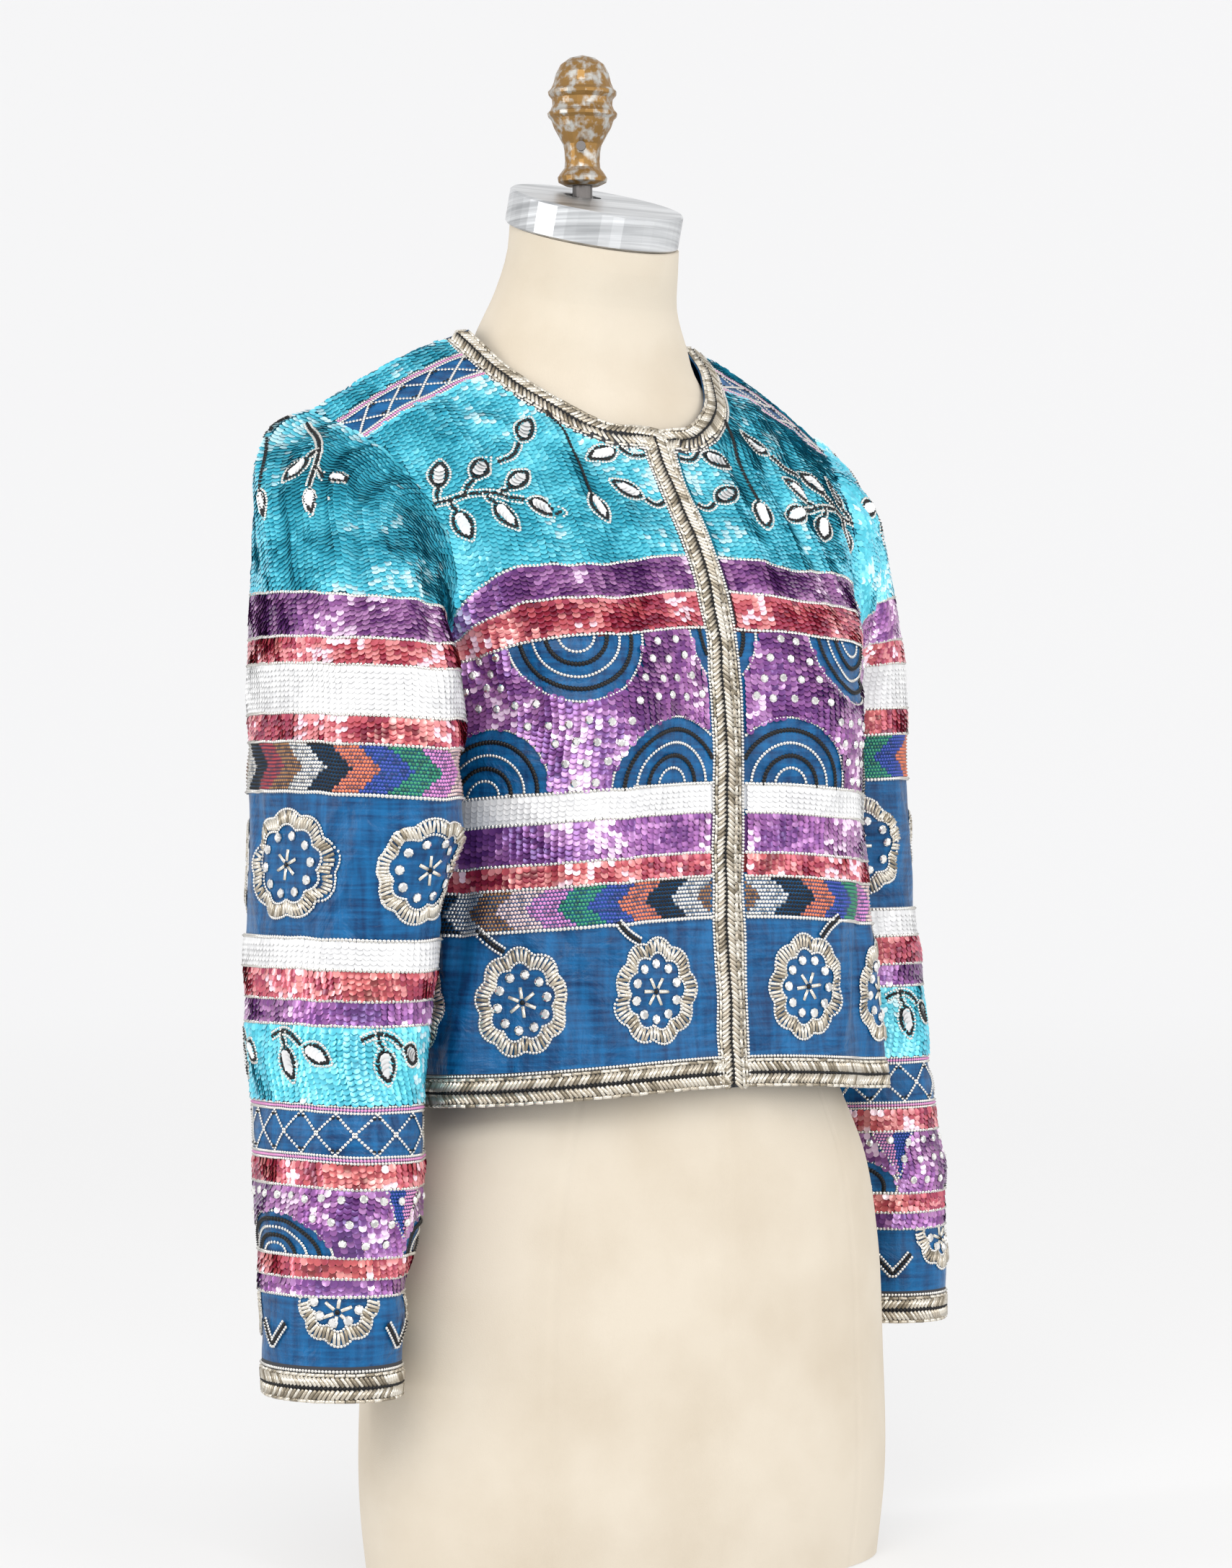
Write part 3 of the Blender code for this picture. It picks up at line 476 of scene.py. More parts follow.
def armhole_loop(turn):
    """Points of the armhole: down the front from the shoulder in half a turn, then up the back."""
    turn = np.asarray(turn) % 1.0
    front = path(FRONT_ARMHOLE, np.clip(1 - turn / 0.5, 0, 1))
    back = path(BACK_ARMHOLE, np.clip((turn - 0.5) / 0.5, 0, 1))
    return np.where((turn <= 0.5)[:, None], front, back)


def sleeve_ring(table, z, turn):
    """Level ring of the sleeve at a height, from outside the arm over its front."""
    places = [row["z"] for row in table][::-1]
    x, y, wide, deep = curve_through(table[::-1], ("x", "y", "wide", "deep"), places, z)
    angle = turn * 2 * math.pi
    return np.stack([x + wide * np.cos(angle), y - deep * np.sin(angle), np.full_like(angle, z)], axis=-1)


def sleeve_grid(side, table, cap_reach):
    """Rows run cuff to armhole; columns run from the underarm seam round the outside and back to it."""
    even = np.linspace(-0.5, 0.5, SLEEVE_COLUMNS + 1)
    turn = (even - CROWDING / (2 * math.pi) * np.sin(2 * math.pi * even)) % 1.0
    angle = turn * 2 * math.pi
    middle = armhole_loop(np.arange(64) / 64).mean(axis=0)
    loop = armhole_loop(turn) + np.array([ARMHOLE_GAP, 0, 0])
    arm = sleeve_ring(table, table[0]["z"], turn)
    rise = np.clip(np.cos(angle), 0, 1)
    fan = LEAVE_FAN * (loop[:, 1] - middle[1])
    leave = unit(np.stack([np.ones_like(angle), fan, -LEAVE_DROP * rise], axis=-1))
    span = np.linalg.norm(arm - loop, axis=-1, keepdims=True)
    gather = np.cos(GATHER_COUNT * math.pi * angle / math.radians(GATHER_SPREAD))
    from_top = np.minimum(turn, 1 - turn) * 360
    gather = gather * np.clip(GATHER_FADE - from_top / GATHER_SPREAD, 0, 1)
    outside = np.stack([np.cos(angle), -np.sin(angle), PUFF_RISE * rise], axis=-1)
    rows = []
    for t in np.linspace(0, 1, CAP_ROWS + 1):
        at_hole, leaving, at_arm, falling = hermite(t)
        row = loop * at_hole + leave * span * cap_reach * leaving + arm * at_arm
        row = row + np.array([0, 0, -1]) * span * CAP_FALL * falling
        puff = CAP_PUFF * rise * math.sin(math.pi * min(1, t * PUFF_HASTE)) ** 2
        wave = GATHER_DEPTH * gather * math.sin(math.pi * min(1, GATHER_START + t * GATHER_HASTE)) * (1 - t)
        rows.append(row + outside * (puff + wave)[:, None])
    outside = np.stack([np.cos(angle), -np.sin(angle), np.zeros_like(angle)], axis=-1)
    for z in np.linspace(table[0]["z"], table[-1]["z"], ARM_ROWS + 1)[1:]:
        crease = np.zeros_like(angle)
        for fold in SLEEVE_FOLDS:
            around = (np.degrees(angle) - fold["at"] + 180) % 360 - 180
            up = (z - fold["z"]) / fold["tall"]
            crease += fold["depth"] * np.exp(-((around / fold["spread"]) ** 2) - up * up)
        rows.append(sleeve_ring(table, z, turn) + outside * crease[:, None])
    return np.array(rows)[::-1] * np.array([side, 1, 1])


def creases(s, h, rows):
    """Height of soft troughs with a ridge on each side: along s, between two heights, with a slant."""
    total = np.zeros(np.broadcast(s, h).shape)
    for row in rows:
        middle, half = (row["low"] + row["high"]) / 2, (row["high"] - row["low"]) / 2
        wander = WANDER * np.sin(h / WANDER_LENGTH + row["s"] * WANDER_START)
        away = (s - row["s"] - row["slant"] * (h - middle)) / row["wide"] + wander
        window = np.clip(1 - ((h - middle) / half) ** 2, 0, 1)
        ridges = RIDGE_HEIGHT * np.exp(-((np.abs(away) - RIDGE_PLACE) ** 2))
        total += row["deep"] * window * (ridges - np.exp(-(away**2)))
    return total


def quads_of(rows, columns, closed=False):
    """Faces of a grid of points, which meets itself across if it is closed."""
    faces = []
    for r in range(rows - 1):
        for c in range(columns if closed else columns - 1):
            a, b = r * columns + c, r * columns + (c + 1) % columns
            faces.append((a, b, b + columns, a + columns))
    return faces


def shown(name, mesh, materials):
    """An object in the scene for a mesh, with its materials."""
    for material in materials:
        mesh.materials.append(material)
    thing = bpy.data.objects.new(name, mesh)
    bpy.context.scene.collection.objects.link(thing)
    return thing


def smooth_object(name, points, faces, materials):
    """An object from points and faces, shaded smooth."""
    mesh = bpy.data.meshes.new(name)
    mesh.from_pydata([tuple(p) for p in points], [], faces)
    mesh.shade_smooth()
    return shown(name, mesh, materials)


def rows_at(heights, h):
    """For each column: share of the way from the row under height h to the next, that row, and the column."""
    r = np.clip((heights <= h).sum(axis=0) - 1, 0, len(heights) - 2)
    each = np.arange(heights.shape[1])
    low, high = heights[r, each], heights[r + 1, each]
    return (h - low) / np.maximum(high - low, 1e-9), r, each


class Panel:
    """A cloth piece: its points, normals, and lengths across (s) and up (h) it."""

    def __init__(self, name, side, grid, mirror, centre, seed, relief, rows):
        """`side` is -1 on the wearer's right, 1 on the left and 0 for the back, `rows` are its creases."""
        self.name = name
        self.side = side
        self.flip = mirror
        self.borders = []  # edges that sequins keep away from
        self.trims = []  # edges with a border, and their directions inwards
        self.yokes = []  # lattices along the shoulders
        self.take(grid, centre)
        fade = np.clip(np.minimum(self.h, self.h[-1:] - self.h) / RELIEF_FADE, 0, 1)
        height = relief * soft_waves(self.s, self.h, seed) + creases(self.s, self.h, rows)
        self.take(grid + self.normals * (fade * height)[..., None], centre)
        quads = quads_of(*self.grid.shape[:2])
        self.quads = [q[::-1] for q in quads] if mirror < 0 else quads
        self.tree = BVHTree.FromPolygons([tuple(p) for p in self.grid.reshape(-1, 3)], self.quads)

    def take(self, grid, centre):
        """Measures the grid: lengths across from column `centre`, and up from the lower edge."""
        self.grid = grid
        self.normals = outward(grid) * self.flip
        self.up = unit(np.gradient(grid, axis=0))
        self.h = run_along(grid)
        run = run_along(grid, 1)
        if centre:
            self.s = run - run[:, centre : centre + 1]
        else:
            self.s = run + np.abs(grid[:, :1, 0] - grid[:1, :1, 0])

    def sample(self, row, col):
        """Points, normals, up directions and heights at fractional rows and columns."""
        r = np.clip(np.floor(row).astype(int), 0, self.grid.shape[0] - 2)
        c = np.clip(np.floor(col).astype(int), 0, self.grid.shape[1] - 2)
        fr, fc = (row - r)[..., None], (col - c)[..., None]
        found = []
        for field in (self.grid, self.normals, self.up, self.h[..., None]):
            low = field[r, c] * (1 - fc) + field[r, c + 1] * fc
            high = field[r + 1, c] * (1 - fc) + field[r + 1, c + 1] * fc
            found.append(low * (1 - fr) + high * fr)
        return found[0], unit(found[1]), unit(found[2]), found[3][..., 0]

    def locate(self, s, h):
        """Points, normals and up directions at lengths (s, h), and which of them are on the piece."""
        s, h = np.broadcast_arrays(np.asarray(s, float), np.asarray(h, float))
        index = np.arange(self.grid.shape[1])
        cols = np.array([np.interp(s, across, index) for across in self.s])
        heights = np.array([np.interp(at, index, up) for at, up in zip(cols, self.h)])
        inside = (s >= self.s[:, :1]) & (s <= self.s[:, -1:])
        t, r, each = rows_at(heights, h)
        good = inside[r, each] & inside[r + 1, each] & (t >= -1e-6) & (t <= 1 + 1e-6)
        col = cols[r, each] * (1 - t) + cols[r + 1, each] * t
        point, normal, up, _ = self.sample(r + t, col)
        return point, normal, up, good

    def project(self, points):
        """Nearest points of the piece, with its normals there."""
        found = [self.tree.find_nearest(Vector(p)) for p in points]
        return np.array([hit[0] for hit in found]), unit(np.array([hit[1] for hit in found]))


# Small shapes, as (points, faces) with their face towards +Z and their length along +Y
def circle(count, radius, z, turn=0.0):
    """Points of a level circle round the origin."""
    a = np.arange(count) / count * 2 * math.pi + turn
    return np.stack([radius * np.cos(a), radius * np.sin(a), np.full(count, z)], axis=-1)


def peak(count, height):
    """A low fan of triangles: a bead where its middle is high, a cupped sequin where it is low."""
    points = np.concatenate([circle(count, 1.0, 0.0), [[0.0, 0.0, height]]])
    return points, [(i, (i + 1) % count, count) for i in range(count)]


def half_rod():
    """The upper half of a rod, one unit in radius and one in length, lying along +Y."""
    section = np.array([[1.0, 0.0, 0.0], [0.0, 0.0, 1.0], [-1.0, 0.0, 0.0]])
    points = np.concatenate([section + [0, -0.5, 0], section + [0, 0.5, 0]])
    return points, [(0, 3, 4, 1), (1, 4, 5, 2), (0, 1, 2), (5, 4, 3)]


def cut_stone():
    """A stud with facets between three rings: its foot, its girdle and its flat top."""
    rings = circle(8, 1.0, 0.0), circle(8, 0.93, 0.28), circle(8, 0.52, 0.60, math.pi / 8)
    faces = []
    for i in range(8):
        j = (i + 1) % 8
        faces += [(i, j, 8 + j, 8 + i), (8 + i, 8 + j, 16 + i), (16 + i, 8 + j, 16 + j)]
    return np.concatenate(rings), [*faces, tuple(range(16, 24))]


SHAPES = {"bead": peak(6, 1.0), "rod": half_rod(), "stone": cut_stone(), "sequin": peak(8, -0.20)}


class Pile:
    """Small shapes collected for one object: where each lies, which way it turns and its colour."""

    def __init__(self):
        self.lots = []

    def add(self, shape, points, normals, along, scale, slot, proud=0.0):
        """`scale` is (across, along, high) in metres, `slot` a material name or one per shape."""
        count = len(points)
        if not count:
            return
        points = np.asarray(points, float) + normals * proud
        normals = unit(np.asarray(normals, float))
        along = np.broadcast_to(np.asarray(along, float), points.shape)
        along = unit(along - (along * normals).sum(-1, keepdims=True) * normals)
        scale = np.broadcast_to(np.asarray(scale, float), (count, 3))
        self.lots.append((shape, points, normals, along, scale, np.broadcast_to(np.asarray(slot), (count,))))

    def build(self, name, materials):
        """One object of all the shapes."""
        points, loops, sizes, slots, smooth = [], [], [], [], []
        names = []
        base = 0
        for shape, at, normals, along, scale, lot_slots in self.lots:
            corners, faces = SHAPES[shape]
            placed = at[:, None]
            for axis, way in enumerate((np.cross(along, normals), along, normals)):
                reach = corners[None, :, axis] * scale[:, axis, None]
                placed = placed + way[:, None] * reach[..., None]
            points.append(placed.reshape(-1, 3))
            flat = np.concatenate([np.array(f) for f in faces])
            shift = base + np.arange(len(at)) * len(corners)
            loops.append((flat[None] + shift[:, None]).ravel())
            sizes.append(np.tile([len(f) for f in faces], len(at)))
            names += [slot for slot in dict.fromkeys(lot_slots) if slot not in names]
            slots.append(np.repeat([names.index(slot) for slot in lot_slots], len(faces)))
            smooth.append(np.full(len(faces) * len(at), shape != "stone"))
            base += len(at) * len(corners)
        loops, sizes = np.concatenate(loops), np.concatenate(sizes)
        starts = np.concatenate([[0], np.cumsum(sizes)[:-1]])
        mesh = bpy.data.meshes.new(name)
        mesh.vertices.add(base)
        mesh.vertices.foreach_set("co", np.concatenate(points).ravel())
        mesh.loops.add(len(loops))
        mesh.loops.foreach_set("vertex_index", loops.astype(np.int32))
        mesh.polygons.add(len(sizes))
        mesh.polygons.foreach_set("loop_start", starts.astype(np.int32))
        mesh.polygons.foreach_set("material_index", np.concatenate(slots).astype(np.int32))
        mesh.polygons.foreach_set("use_smooth", np.concatenate(smooth))
        mesh.update(calc_edges=True)
        return shown(name, mesh, [materials[slot] for slot in names])


# Finishes
def shader_of(material):
    """The node that makes a material's surface."""
    return material.node_tree.nodes["Principled BSDF"]


def surface(name, roughness, metallic=0.0, **more):
    """A new material, whose colour is still to come. `more` names other inputs."""
    material = bpy.data.materials.new(name)
    material.use_nodes = True
    shader = shader_of(material)
    shader.inputs["Roughness"].default_value = roughness
    shader.inputs["Metallic"].default_value = metallic
    for key, value in more.items():
        shader.inputs[key.replace("_", " ")].default_value = value
    return material


def plain(name, colour, roughness, metallic=0.0, **more):
    """A material of one colour."""
    material = surface(name, roughness, metallic, **more)
    shader_of(material).inputs["Base Color"].default_value = (*colour, 1.0)
    return material


def feed(material, **sources):
    """Joins node outputs to the inputs of a material's surface that they are named after."""
    for key, source in sources.items():
        material.node_tree.links.new(source, shader_of(material).inputs[key.replace("_", " ")])


def add_node(tree, kind, **values):
    """A new node. Each input is set to its value, or joined to it if that is another node's output."""
    node = tree.nodes.new("ShaderNode" + kind)
    for key, value in values.items():
        entry = node.inputs[key.replace("_", " ")]
        if isinstance(value, bpy.types.NodeSocket):
            tree.links.new(value, entry)
        else:
            entry.default_value = value
    return node


def noise(tree, vector, scale, detail, distortion=0.0):
    """Soft spots, whose size falls as `scale` grows."""
    node = add_node(tree, "TexNoise", Vector=vector, Scale=scale, Detail=detail, Distortion=distortion)
    return node.outputs["Fac"]


def streaked(tree, place, stretch, detail):
    """Noise that is stretched along one axis or more."""
    mapping = add_node(tree, "Mapping", Vector=place, Scale=stretch)
    return noise(tree, mapping.outputs["Vector"], 1.0, detail)


def reckon(tree, operation, *terms):
    """A sum of node outputs and numbers."""
    node = tree.nodes.new("ShaderNodeMath")
    node.operation = operation
    for entry, term in zip(node.inputs, terms):
        if isinstance(term, bpy.types.NodeSocket):
            tree.links.new(term, entry)
        else:
            entry.default_value = term
    return node.outputs[0]


def ramp(tree, share, low, low_colour, high, high_colour):
    """Colours between two shares."""
    node = add_node(tree, "ValToRGB", Fac=share)
    elements = node.color_ramp.elements
    elements[0].position = low
    elements[0].color = (*low_colour, 1)
    elements[1].position = high
    elements[1].color = (*high_colour, 1)
    return node.outputs["Color"]


# Sequins come in five tints, dark to bright, in these shares. The brightest is a painted glint, and the
# brighter tints gather in patches of painted highlight
TINT_SHARES = (0.15, 0.26, 0.29, 0.22, 0.08)
# The last tint of teal, purple and red is a painted glint; the others are the sequins' own tones
SEQUIN_TINTS = {
    "teal": (
        (0.045, 0.42, 0.56),
        (0.065, 0.50, 0.65),
        (0.095, 0.58, 0.73),
        (0.17, 0.67, 0.80),
        (0.62, 0.88, 0.94),
    ),
    "purple": (
        (0.095, 0.024, 0.140),
        (0.155, 0.046, 0.205),
        (0.240, 0.085, 0.270),
        (0.40, 0.19, 0.42),
        (0.84, 0.64, 0.84),
    ),
    "red": (
        (0.210, 0.010, 0.028),
        (0.350, 0.028, 0.056),
        (0.520, 0.080, 0.100),
        (0.74, 0.26, 0.26),
        (0.98, 0.70, 0.78),
    ),
    "white": (
        (0.59, 0.59, 0.595),
        (0.64, 0.64, 0.645),
        (0.68, 0.68, 0.68),
        (0.72, 0.72, 0.72),
        (0.78, 0.78, 0.78),
    ),
}
FILM = {"teal": 420.0, "purple": 500.0, "red": 360.0, "white": 0.0}  # coloured sheen, in nanometres
# Ground under each band: a darker tone of its sequins, as painted shade between them
SHADE_GROUND_TINTS = {
    "teal": (0.014, 0.230, 0.330),
    "purple": (0.080, 0.020, 0.125),
    "red": (0.140, 0.006, 0.012),
    "white": (0.56, 0.57, 0.60),
}

BEAD_TINTS = {
    "silver": (0.66, 0.64, 0.60),
    "black": (0.006, 0.006, 0.007),
    "darkred": (0.28, 0.012, 0.024),
    "bronze": (0.26, 0.125, 0.050),
    "palepink": (0.72, 0.52, 0.50),
    "mauve": (0.60, 0.22, 0.52),
    "green": (0.015, 0.24, 0.12),
    "blue": (0.018, 0.050, 0.34),
    "orange": (0.66, 0.16, 0.07),
    "pink": (0.62, 0.25, 0.48),
}


def make_materials():
    """Materials of the sewn work and the ground under it, by name. The grounds are darkened as painted shade
    between the sequins and bugles.
    """
    made = {}
    for family, tints in SEQUIN_TINTS.items():
        rough, metal = (0.32, 0.0) if family == "white" else (0.24, 0.28)
        film = dict(Thin_Film_Thickness=FILM[family], Thin_Film_IOR=1.45)
        coat = dict(Specular_IOR_Level=0.7, Coat_Weight=0.40, Coat_Roughness=0.18)
        for i, tint in enumerate(tints):
            made[f"{family}{i}"] = plain(f"{family}_sequin_{i}", tint, rough, metal, **coat, **film)
    for family, tint in SHADE_GROUND_TINTS.items():
        made[f"{family}_base"] = plain(f"{family}_ground", tint, 0.6)
    for name, tint in BEAD_TINTS.items():
        metal = {"silver": 0.75, "black": 0.0, "bronze": 0.6}.get(name, 0.35)
        rough, shine = (0.30, 0.25) if name == "black" else (0.18, 0.8)
        shaded = tuple(channel * 0.50 for channel in tint)
        made[name] = plain(f"{name}_beads", tint, rough, metal, Specular_IOR_Level=shine)
        made[name + "_low"] = plain(f"{name}_beads_shaded", shaded, rough, metal, Specular_IOR_Level=shine)
    made["rod"] = plain("silver_bugles", (0.70, 0.65, 0.56), 0.22, 0.60)
    made["rod2"] = plain("champagne_bugles", (0.52, 0.46, 0.37), 0.26, 0.55)
    made["rod3"] = plain("shaded_bugles", (0.27, 0.23, 0.17), 0.28, 0.60)
    # Near-black ground under the border: painted shade between its bugles
    made["trim_base"] = plain("border_painted_shade", (0.030, 0.032, 0.040), 0.8)
    made["stone"] = plain("silver_studs", (0.78, 0.77, 0.75), 0.10, 0.9)
    return made


def silk_material():
    """Dark blue silk with upright streaks, slubs across them, a fine weave and soft rumples."""
    material = surface("blue_silk", 0.38, Specular_IOR_Level=0.26)
    tree = material.node_tree
    place = tree.nodes.new("ShaderNodeTexCoord").outputs["Object"]
    streaks = streaked(tree, place, (190, 190, 16), 5)
    slubs = streaked(tree, place, (30, 30, 420), 3)
    weave = noise(tree, place, 900, 2)
    crumple = noise(tree, place, 34, 4, 0.8)
    rumple = add_node(tree, "Bump", Height=crumple, Strength=0.75, Distance=0.007)
    mixed = reckon(tree, "MULTIPLY_ADD", slubs, 0.5, reckon(tree, "MULTIPLY", streaks, 0.5))
    colour = ramp(tree, mixed, 0.36, (0.001, 0.030, 0.105), 0.62, (0.003, 0.110, 0.290))
    threads = reckon(tree, "ADD", streaks, weave)
    both = add_node(tree, "Bump", Height=threads, Normal=rumple.outputs[0], Strength=0.35, Distance=0.0006)
    feed(material, Base_Color=colour, Normal=both.outputs[0])
    return material


def canvas_material():
    """The form's pale canvas, a little blotched."""
    material = surface("form_canvas_looks", 0.88)
    tree = material.node_tree
    place = tree.nodes.new("ShaderNodeTexCoord").outputs["Object"]
    colour = ramp(tree, noise(tree, place, 11, 6), 0.30, (0.535, 0.462, 0.362), 0.62, (0.605, 0.538, 0.440))
    bump = add_node(tree, "Bump", Height=noise(tree, place, 1400, 2), Strength=0.25, Distance=0.0004)
    feed(material, Base_Color=colour, Normal=bump.outputs[0])
    return material


# Sewn work: sizes in metres
SEQUIN = 0.0026
STRING_PITCH = 0.0042
SEQUIN_PITCH = 0.0031
BEAD = 0.00098
BEAD_PITCH = 0.0020
PROUD = 0.0013  # beads that are sewn over sequins stand this far out
SEWN_GAP = 0.0002  # and things on the bare cloth this far
EDGE_GAP = 0.0004  # lines of beads that edge a motif
SEQUIN_LIFT = 0.0012  # middle of a sequin above the cloth
BLACK_BEAD = BEAD * 1.45
BLACK_PITCH = 0.0023
LINE_GAP = 0.0022  # between a black line and the silver one beside it
RODS = ("rod", "rod2", "rod3")
LEAF_LENGTH = 0.0245
LEAF_WIDTH = 0.0145
LEAF_SEQUINS = (0.30, 0.42, 0.54, 0.66)  # shares of the way along a leaf
SHORT_STALK = 0.004  # leaves on shorter stalks sit on the stem
LOBES = 9  # round a medallion
LOBE_DEPTH = 0.0032
RING_WIDTH = 0.0086
RING_STUDS = 10
STUD = (0.0027, 0.0027, 0.0024)
BAND_MARGIN = 0.85 * SEQUIN  # from a band's edge to the middle of its first sequin
WIDE_BAND = 0.05  # the strings of wider bands start at uneven heights
UNEVEN_START = 0.4  # in pitches of the sequins
ODD_SHIFT = 0.14  # in narrow bands, odd strings are shifted up and even ones down by this share
SEQUIN_LEAN = (14, 5, 3.0)  # degrees upwards: mean, spread over patches, and chance
SEQUIN_SWING = (7, 3.0)  # degrees sideways: spread over patches, and chance
BODY_SWING = 2.0  # degrees that whole strings swing sideways by chance
SLEEVE_SWING = 4.0
SEQUIN_SIZES = (0.94, 1.03)  # smallest and largest, as shares of the usual one
MEDALLION_ROD = (0.00092, 0.0070, 0.0011)
MEDALLION_STUD = (0.0031, 0.0031, 0.0028)
STAR_ROD = (0.0010, 0.0066, 0.0011)
STAR_RADIUS = 0.0056
CHEVRON_PITCH = 0.0022
CHEVRON_WIDE = 0.0185
CHEVRON_SLANT = 1.1
CHEVRON_DARK = 0.24  # share of shaded beads
CHEVRON_COLOURS = "bronze silver black orange blue green mauve palepink bronze silver black darkred".split()
ARCH_LINES = ((1.0, "silver"), (0.81, "black"), (0.62, "silver"), (0.43, "black"), (0.25, "silver"))


def strings(panel):
    """Upright lines over the panel: their s, points, normals, ups, h, drop and column at every row."""
    s_values = np.arange(panel.s.min() + STRING_PITCH / 2, panel.s.max(), STRING_PITCH)
    rows, columns = panel.grid.shape[:2]
    index = np.arange(columns)
    cols = np.array([np.interp(s_values, across, index) for across in panel.s]).T
    inside = np.array([(s_values > across[0]) & (s_values < across[-1]) for across in panel.s]).T
    row = np.broadcast_to(np.arange(rows, dtype=float), cols.shape)
    points, normals, ups, heights = panel.sample(row, cols)
    top = np.interp(cols, index, panel.h[-1])
    return s_values, (points, normals, ups, heights, top - heights, cols), inside


def string_line(panel, fields, good, s):
    """One string's fields over the rows `good`, and at the panel's edge where that cuts the string."""
    line = [field[good] for field in fields]
    last = good[-1]
    if last + 1 < len(panel.s) and s <= panel.s[last + 1, 0]:
        share = (s - panel.s[last, 0]) / (panel.s[last + 1, 0] - panel.s[last, 0])
        end = panel.sample(np.array([last + share]), np.zeros(1))
        end = (*end, panel.h[-1, :1] - end[3], np.zeros(1))
        line = [np.concatenate([a, b]) for a, b in zip(line, end)]
    return line


def string_places(low, high, family, odd):
    """Lengths along a string, top to bottom, of the sequins in one band."""
    count = max(1, int(round((high - low - 2 * BAND_MARGIN) / SEQUIN_PITCH)) + 1)
    at = np.linspace(high - BAND_MARGIN, low + BAND_MARGIN, count)
    if high - low > WIDE_BAND:
        return at + rng.uniform(-UNEVEN_START, UNEVEN_START) * SEQUIN_PITCH
    if family == "white":
        return at
    return at + (ODD_SHIFT if odd else -ODD_SHIFT) * SEQUIN_PITCH


def lay_sequins(panel, pile, bands, keep, edge, string_swing=BODY_SWING):
    """Fills bands of (low, high, family) with strings of sequins that overlap downwards."""
    s_values, fields, inside = strings(panel)
    found = {}
    for k, s in enumerate(s_values):
        good = np.flatnonzero(inside[k])
        if len(good) < 3:
            continue
        line = string_line(panel, [field[k] for field in fields], good, s)
        arc = run_along(line[0])
        for low, high, family in bands:
            start, end = np.interp((low, high), line[3], arc)
            if end - start < SEQUIN:
                continue
            at = string_places(start, end, family, k % 2)
            one = [along_line(at, arc, field) for field in line[:3]]
            more = [np.interp(at, arc, field) for field in line[3:]]
            found.setdefault(family, []).append((*one, *more, np.full(len(at), s)))
    for family, lots in found.items():
        p, n, u, h, drop, col, s = (np.concatenate([lot[i] for lot in lots]) for i in range(7))
        use = keep(p, s, h, drop, col) & (s > edge)
        if use.any():
            p, n, u, h, s = p[use], unit(n[use]), unit(u[use]), h[use], s[use]
            string = np.searchsorted(s_values, s).clip(0, len(s_values) - 1)
            sew_sequins(pile, family, p, n, u, h, s, string, len(s_values), string_swing)


def sew_sequins(pile, family, p, n, u, h, s, string, strings_in_all, string_swing):
    """Sequins of one colour: each leans, swings with its string, and takes a tint of its patch; the bright
    patches and the brightest tint are painted highlight.
    """
    count = len(p)
    mean, spread, chance = SEQUIN_LEAN
    lean = np.radians(mean + spread * soft_waves(s, h, 5, 0.05) + rng.normal(0, chance, count))
    spread, chance = SEQUIN_SWING
    swing = np.radians(spread * soft_waves(s, h, 6, 0.04) + rng.normal(0, chance, count))
    swing += np.radians(string_swing) * rng.normal(0, 1, strings_in_all)[string]
    if family == "white":
        lean, swing = lean * 0.5, swing * 0.25
    across = np.cross(u, n)
    turned = unit(n * np.cos(lean)[:, None] + u * np.sin(lean)[:, None] + across * np.sin(swing)[:, None])
    # Patches where brighter tints gather are painted highlight over the sequins' own uneven tones
    order = rng.uniform(0, 1, count)
    order = order + 0.30 * soft_waves(s, h, 8, 0.03) + 0.42 * soft_waves(s, h * 0.35, 9, 0.06)
    rank = np.argsort(np.argsort(order)) / count
    tint = np.searchsorted(np.cumsum(TINT_SHARES), rank).clip(0, len(TINT_SHARES) - 1)
    slots = np.array([f"{family}{i}" for i in range(len(TINT_SHARES))])[tint]
    radius = SEQUIN * rng.uniform(*SEQUIN_SIZES, count)
    pile.add("sequin", p + n * SEQUIN_LIFT, turned, u, radius[:, None], slots)


def bead_line(panel, pile, s, h, slot="silver", size=BEAD, proud=SEWN_GAP):
    """Beads at lengths (s, h) along a line, where it is on the panel."""
    p, n, _, good = panel.locate(s, h)
    if good.sum() > 1:
        pile.add("bead", p[good], n[good], np.gradient(p, axis=0)[good], size, slot, proud)


def level_line(panel, pile, h, edge):
    """The silver line of larger beads that parts two bands."""
    s = np.arange(max(panel.s.min(), edge) + BEAD, panel.s.max(), 0.0024)
    bead_line(panel, pile, s, np.full_like(s, h), size=0.00125, proud=0.0010)


def chevrons(panel, pile, low, high, edge, start, mirror=1):
    """Rows of seed beads in a run of pointed patches of colour."""
    pitch = CHEVRON_PITCH
    rows = int(round((high - low) / pitch))
    s_all = np.arange(max(panel.s.min(), edge) + 0.001, panel.s.max(), pitch)
    middle = (low + high) / 2
    for i in range(rows):
        h = low + (i + 0.5) * (high - low) / rows
        s = s_all + (0.5 * pitch if i % 2 else 0)
        step = (np.abs(s) * mirror if mirror else s) - start + abs(h - middle) * CHEVRON_SLANT
        patch = np.floor(step / CHEVRON_WIDE).astype(int) % len(CHEVRON_COLOURS)
        dark = rng.uniform(size=len(s)) < CHEVRON_DARK
        slots = np.array(CHEVRON_COLOURS)[patch]
        slots = np.where(dark, np.char.add(slots, "_low"), slots)
        p, n, u, good = panel.locate(s, np.full_like(s, h))
        p, n, u = p[good], n[good], u[good]
        pile.add("bead", p, n, np.cross(u, n), (pitch / 2, pitch / 2, pitch * 0.45), slots[good], SEWN_GAP)


